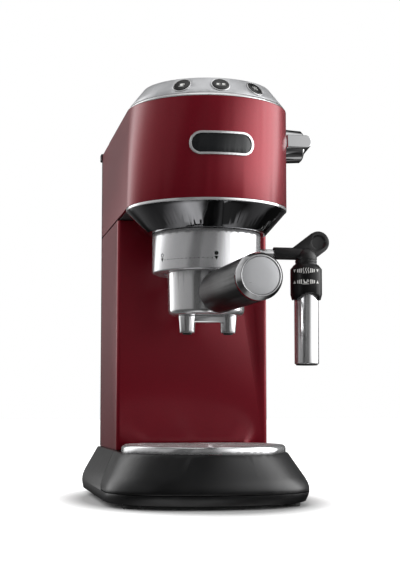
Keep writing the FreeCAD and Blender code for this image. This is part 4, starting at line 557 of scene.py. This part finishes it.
def turned_shape(profile, centre, axis):
    """A closed outline of (radius, distance) in millimetres, turned about an axis."""
    made = bmesh.new()
    across = axis.orthogonal().normalized()
    upward = axis.cross(across)
    rings = []
    for number in range(TURNED_PARTS):
        turn = math.tau * number / TURNED_PARTS
        out = across * math.cos(turn) + upward * math.sin(turn)
        rings.append([made.verts.new(centre + out * (radius * MM) + axis * (along * MM))
                      for radius, along in profile])
    for number in range(TURNED_PARTS):
        here, after = rings[number], rings[(number + 1) % TURNED_PARTS]
        for step in range(len(profile)):
            onward = (step + 1) % len(profile)
            made.faces.new((here[step], after[step], after[onward], here[onward]))
    bmesh.ops.remove_doubles(made, verts=made.verts, dist=SAME_PLACE)
    bmesh.ops.recalc_face_normals(made, faces=made.faces)
    return made


def turned(name, profile, centre, axis, body, slot, *replaced, look=None):
    mesh = to_mesh(turned_shape(profile, centre, axis), name)
    ease(add_piece(name, mesh, body, slot, *replaced, look=look), TURNED_EDGE)


def rounded(points, parts=6):
    """An outline whose corners with a third value are rounded by that radius."""
    made = []
    count = len(points)
    for number, point in enumerate(points):
        if len(point) == 2:
            made.append(point)
            continue
        here = Vector(point[:2])
        back = (Vector(points[number - 1][:2]) - here).normalized()
        onward = (Vector(points[(number + 1) % count][:2]) - here).normalized()
        half = back.angle(onward) / 2
        reach = point[2] / math.tan(half)
        centre = here + (back + onward).normalized() * (point[2] / math.sin(half))
        start, end = here + back * reach - centre, here + onward * reach - centre
        turn = start.angle_signed(end)
        for step in range(parts + 1):
            spun = Matrix.Rotation(-turn * step / parts, 2) @ start
            made.append(tuple(centre + spun))
    return made


def handle_end():
    """A polished rim with a satin disc set in it, closing the handle."""
    mesh, body = nodes["handle_cap"].data, body_of["handle_cap"]
    axis = min(mesh.polygons, key=lambda face: face.normal.y).normal.copy()
    axis.z = 0
    axis.normalize()
    side = Vector((axis.y, -axis.x, 0))
    low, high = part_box("handle_cap")
    along = [vertex.co.dot(axis) for vertex in mesh.vertices]
    across = [vertex.co.dot(side) for vertex in mesh.vertices]
    middle = Vector(((low.x + high.x) / 2, 0, (low.z + high.z) / 2))
    centre = middle + axis * (max(along) - middle.dot(axis))
    centre += side * ((max(across) + min(across)) / 2 - centre.dot(side))
    radius = (max(across) - min(across)) / 2 / MM
    length = (max(along) - min(along)) / MM

    inside, shoulder, slope, seat, floor_at = radius * 0.5, -4.2, 2.1, radius - 3.0, -3.0
    rim = [(inside, -length), (radius, -length, 0.3), (radius, shoulder, 0.6),
           (radius - slope, -0.1, 0.35), (seat + 0.1, -0.1, 0.25), (seat, -1.0), (seat, floor_at)]
    turned("handle_end_rim", rounded(rim) + [(inside, floor_at)], centre, axis, body, "chrome",
           "handle_cap", look="polished_chrome")
    edge, crown = seat - 0.15, radius * 0.4
    disc = [(0, floor_at - 0.1), (edge, floor_at - 0.1), (edge, -0.45, 0.25), (crown, -0.12),
            (0, -0.1)]
    turned("handle_end_disc", rounded(disc), centre, axis, body, "satin_silver", "handle_cap")


def knob():
    """A tapered barrel with a rounded grip bar across it and down its sides."""
    node, slot, look = "steam_knob", "chrome", "polished_chrome"
    low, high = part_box("steam_knob")
    body, axis = body_of[node], Vector((1, 0, 0))
    centre = Vector((low.x, (low.y + high.y) / 2, (low.z + high.z) / 2))
    radius, length, proud = (high.y - low.y) / 2 / MM, 16.4, (high.x - low.x) / MM
    face, dish = length - 1.6, length - 0.6
    outline = [(0, 0), (radius, 0, 0.3), (radius - 0.9, face, 0.4), (radius - 2.5, length, 0.8),
               (radius - 4.0, dish, 0.4), (0, dish)]
    turned("knob_barrel", rounded(outline), centre, axis, body, slot, node, look=look)

    half, thick, nose, foot, lean, grip_edge = 13.9, 5.2, 4.9, 1.5, -7.5, 0.0012
    section = rounded([(foot, -thick, 1.0), (proud, -thick, nose), (proud, thick, nose),
                       (foot, thick, 1.0)], 8)
    made = bmesh.new()
    tilt = Matrix.Rotation(math.radians(lean), 3, "X")
    ends = [[made.verts.new(centre + tilt @ (Vector((x, end, up)) * MM)) for x, up in section]
            for end in (-half, half)]
    made.faces.new(ends[0])
    made.faces.new(ends[1][::-1])
    for number in range(len(section)):
        after = (number + 1) % len(section)
        made.faces.new((ends[0][number], ends[0][after], ends[1][after], ends[1][number]))
    bmesh.ops.recalc_face_normals(made, faces=made.faces)
    mesh = to_mesh(made, "knob_bar")
    ease(add_piece("knob_bar", mesh, body, slot, node, look=look), grip_edge, 4)


def cone_lip():
    """A bright edge round the front of the black cone, under the head."""
    low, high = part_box("group_cone")
    radius = (high.x - low.x) / 2 / MM
    inside, face, foot, top, edge = radius - 1.0, radius + 0.2, -1.9, 0.1, 0.00015
    section = [(inside, foot), (radius + 0.05, -1.7), (face, -1.2), (face, top), (inside, top)]
    made = turned_shape(section, Vector((*BREW_AXIS, high.z)), Vector((0, 0, 1)))
    everything = made.verts[:] + made.edges[:] + made.faces[:]
    bmesh.ops.bisect_plane(made, geom=everything, plane_co=(0, high.y, 0), plane_no=(0, 1, 0),
                           clear_outer=True)
    bmesh.ops.holes_fill(made, edges=[side for side in made.edges if side.is_boundary])
    mesh = to_mesh(made, "cone_lip")
    ease(add_piece("cone_lip", mesh, body_of["group_cone"], "bright_trim"), edge)


def outlets():
    """Dark rubber outlets in both nozzles, as painted shade under their ends, and at the foot of
    the frother's sleeve.
    """
    down, slot = Vector((0, 0, -1)), "seal_rubber"
    low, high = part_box("double_spout")
    nozzle_inset = 0.0065
    # The nozzles' dark outlets are painted shade: dark rubber where shade falls under their ends.
    nozzle = rounded([(2.3, -5.0), (3.5, -5.0), (3.5, 1.2, 0.5), (2.3, 1.2)])
    for name, x in (("left_painted_shade_outlet", low.x + nozzle_inset), ("right_painted_shade_outlet", high.x - nozzle_inset)):
        centre = Vector((x, low.y + nozzle_inset, low.z))
        turned(name, nozzle, centre, down, body_of["double_spout"], slot)
    low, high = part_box("frother_sleeve")
    mouth = rounded([(4.5, -4.0), (8.4, -4.0), (8.4, 0.9, 0.6), (4.5, 0.9, 0.3)])
    centre = Vector(((low.x + high.x) / 2, (low.y + high.y) / 2, low.z))
    turned("sleeve_outlet", mouth, centre, down, body_of["frother_sleeve"], slot)


button_icons()
collar_scale()
selector_marks()
switch_marks()
handle_end()
knob()
cone_lip()
outlets()
add_camera()

# ---------------------------------------------------------------- studio

# The lamps face this point, at the middle of the machine.
AIM = Vector((0, 0, 0.15))
# Each lamp: degrees round from the front, height, distance, width and height, and watts.
LAMPS = {
    "left_softbox": (-110, 0.42, 1.1, (1.2, 1.3), 5),
    "right_softbox": (75, 0.42, 1.1, (1.2, 1.3), 9),
    "top_softbox": (-20, 1.5, 0.4, (0.6, 0.6), 5),
}


def area_light(name, azimuth, height, distance, size, power):
    """A lamp that faces the machine and doesn't show in it."""
    data = bpy.data.lights.new(name, "AREA")
    data.shape = "RECTANGLE"
    data.size, data.size_y = size
    data.energy = power
    light = bpy.data.objects.new(name, data)
    turn = math.radians(azimuth)
    light.location = (math.sin(turn) * distance, -math.cos(turn) * distance, height)
    light.rotation_euler = (AIM - light.location).to_track_quat("-Z", "Y").to_euler()
    light.visible_glossy = False
    bpy.context.scene.collection.objects.link(light)


def ramp(tree, source, low, high, stops):
    """Levels between named places along low to high, joined by straight lines."""
    peak = max(level for _, level in stops)
    share = ranged(tree, source, 0, 1, low, high)
    made = add(tree, "ValToRGB", [("Fac", share)])
    points = made.color_ramp.elements
    while len(points) < len(stops):
        points.new(0.5)
    for point, (place, level) in zip(points, stops):
        point.position = (place - low) / (high - low)
        point.color = (level / peak,) * 3 + (1,)
    return maths(tree, "MULTIPLY", made.outputs["Color"], peak)


# How bright the studio looks in reflections, by degrees round from the front to the right.
ROUND = ((-180, 0.12), (-160, 0.14), (-148, 2.2), (-135, 1.7), (-117, 0.6), (-95, 0.34),
         (-77, 0.28), (-55, 0.25), (-47, 0.02), (-27, 0.02), (-24, 0.14), (-8, 0.08), (4, 0.12),
         (12, 0.35), (24, 0.95), (45, 2.1), (62, 3.1), (80, 4.0), (106, 4.2), (114, 0.2),
         (150, 0.06), (165, 0.08), (180, 0.12))
# The same towards the floor, where the light falls in strips.
UNDER = ((-180, 0.3), (-90, 0.5), (-60, 1.2), (-35, 1.0), (-25, 0.5), (-18, 0.15), (-12, 0.05),
         (-3, 0.05), (-2, 2.2), (1.2, 2.2), (2.2, 0.06), (5.5, 0.06), (7, 1.0), (9.5, 3.2),
         (12, 3.2), (13.5, 0.5), (20, 0.7), (28, 1.5), (31, 0.06), (75, 0.06), (90, 0.5),
         (180, 0.3))
# How much of the round, the overhead and the floor light shows, by degrees up from level.
SIDE_SHARE = ((-90, 0), (-50, 0), (-12, 0.1), (0, 0.8), (4, 1), (35, 1), (55, 0.2), (90, 0))
TOP_SHARE = ((-90, 0), (60, 0), (80, 0.85), (90, 0.95))
LOW_SHARE = ((-90, 1), (-62, 1), (-48, 0.15), (-30, 0), (90, 0))
ALL_ROUND, ALL_HEIGHTS = (-180, 180), (-90, 90)
DOME_RADIUS = 4.0
WHITE = (1, 1, 1, 1)
# The level of the world's light on the machine.
PLAIN_LEVEL = 0.75


def studio_dome():
    """Dark studio walls with soft bands of light, showing only in reflections."""
    made = bmesh.new()
    bmesh.ops.create_icosphere(made, subdivisions=4, radius=DOME_RADIUS)
    dome = bpy.data.objects.new("studio_dome", to_mesh(made, "studio_dome"))
    bpy.context.scene.collection.objects.link(dome)
    look = bpy.data.materials.new("studio_dome")
    look.use_nodes = True
    tree = look.node_tree
    tree.nodes.clear()
    parts = add(tree, "SeparateXYZ", [(0, add(tree, "TexCoord").outputs["Object"])])
    front = maths(tree, "MULTIPLY", parts.outputs["Y"], -1.0)
    turn = maths(tree, "ARCTAN2", parts.outputs["X"], front)
    rise = maths(tree, "ARCSINE", maths(tree, "DIVIDE", parts.outputs["Z"], DOME_RADIUS), 0.0)
    azimuth, height = (maths(tree, "MULTIPLY", angle, math.degrees(1)) for angle in (turn, rise))
    level = ramp(tree, height, *ALL_HEIGHTS, TOP_SHARE)
    for bands, share in ((ROUND, SIDE_SHARE), (UNDER, LOW_SHARE)):
        part = maths(tree, "MULTIPLY", ramp(tree, azimuth, *ALL_ROUND, bands),
                     ramp(tree, height, *ALL_HEIGHTS, share))
        level = maths(tree, "ADD", level, part)
    glow = add(tree, "Emission", [("Strength", level)])
    set_inputs(glow, Color=WHITE)
    tree.links.new(glow.outputs[0], add(tree, "OutputMaterial").inputs["Surface"])
    dome.data.materials.append(look)
    for rays in ("camera", "diffuse", "shadow", "transmission"):
        setattr(dome, "visible_" + rays, False)


def white_world():
    """White to the camera and in reflections, and a plain level of light on the machine."""
    world = bpy.data.worlds.new("studio")
    world.use_nodes = True
    tree = world.node_tree
    tree.nodes.clear()
    out = add(tree, "OutputWorld")
    path = add(tree, "LightPath")
    plain, white = add(tree, "Background"), add(tree, "Background")
    set_inputs(plain, Color=WHITE, Strength=PLAIN_LEVEL)
    set_inputs(white, Color=WHITE, Strength=1.0)
    seen = maths(tree, "MAXIMUM", path.outputs["Is Camera Ray"], path.outputs["Is Glossy Ray"])
    seen = maths(tree, "MAXIMUM", seen, path.outputs["Is Transmission Ray"])
    mix = add(tree, "MixShader", [(0, seen), (1, plain.outputs[0]), (2, white.outputs[0])])
    tree.links.new(mix.outputs[0], out.inputs["Surface"])
    bpy.context.scene.world = world


def floor():
    """A wide pale floor with a painted shade halo round the machine's shadow, white elsewhere."""
    half, pale = 6, (0.5, 0.5, 0.5)
    made = bmesh.new()
    corners = ((-half, -half), (half, -half), (half, half), (-half, half))
    made.faces.new([made.verts.new((x, y, 0)) for x, y in corners])
    piece = bpy.data.objects.new("floor", to_mesh(made, "floor"))
    bpy.context.scene.collection.objects.link(piece)
    piece.visible_glossy = False
    look, tree, shader = new_material("floor", pale, 0, 0.8)
    # The camera sees the floor brighten to white between two ellipses round the machine, which
    # are these two shares of this half width and half depth; inside the nearer one it stays grey,
    # a painted shade halo round the machine's shadow.
    wide, deep, fade_from, fade_to = 0.085, 0.135, 0.98, 1.35
    away = add(tree, "VectorMath", [(0, place_of(tree, (1 / wide, 1 / deep, 1)))],
               operation="LENGTH")
    seen = add(tree, "LightPath").outputs["Is Camera Ray"]
    # No white glow near the machine: the grey left there is painted shade.
    glow_outside_painted_halo = ranged(tree, away.outputs["Value"], 0, 1, fade_from, fade_to)
    shader.inputs["Emission Color"].default_value = WHITE
    tree.links.new(maths(tree, "MULTIPLY", seen, glow_outside_painted_halo), shader.inputs["Emission Strength"])
    piece.data.materials.append(look)


floor()
white_world()
studio_dome()
for name, values in LAMPS.items():
    area_light(name, *values)

bpy.context.scene.view_settings.view_transform = "Standard"
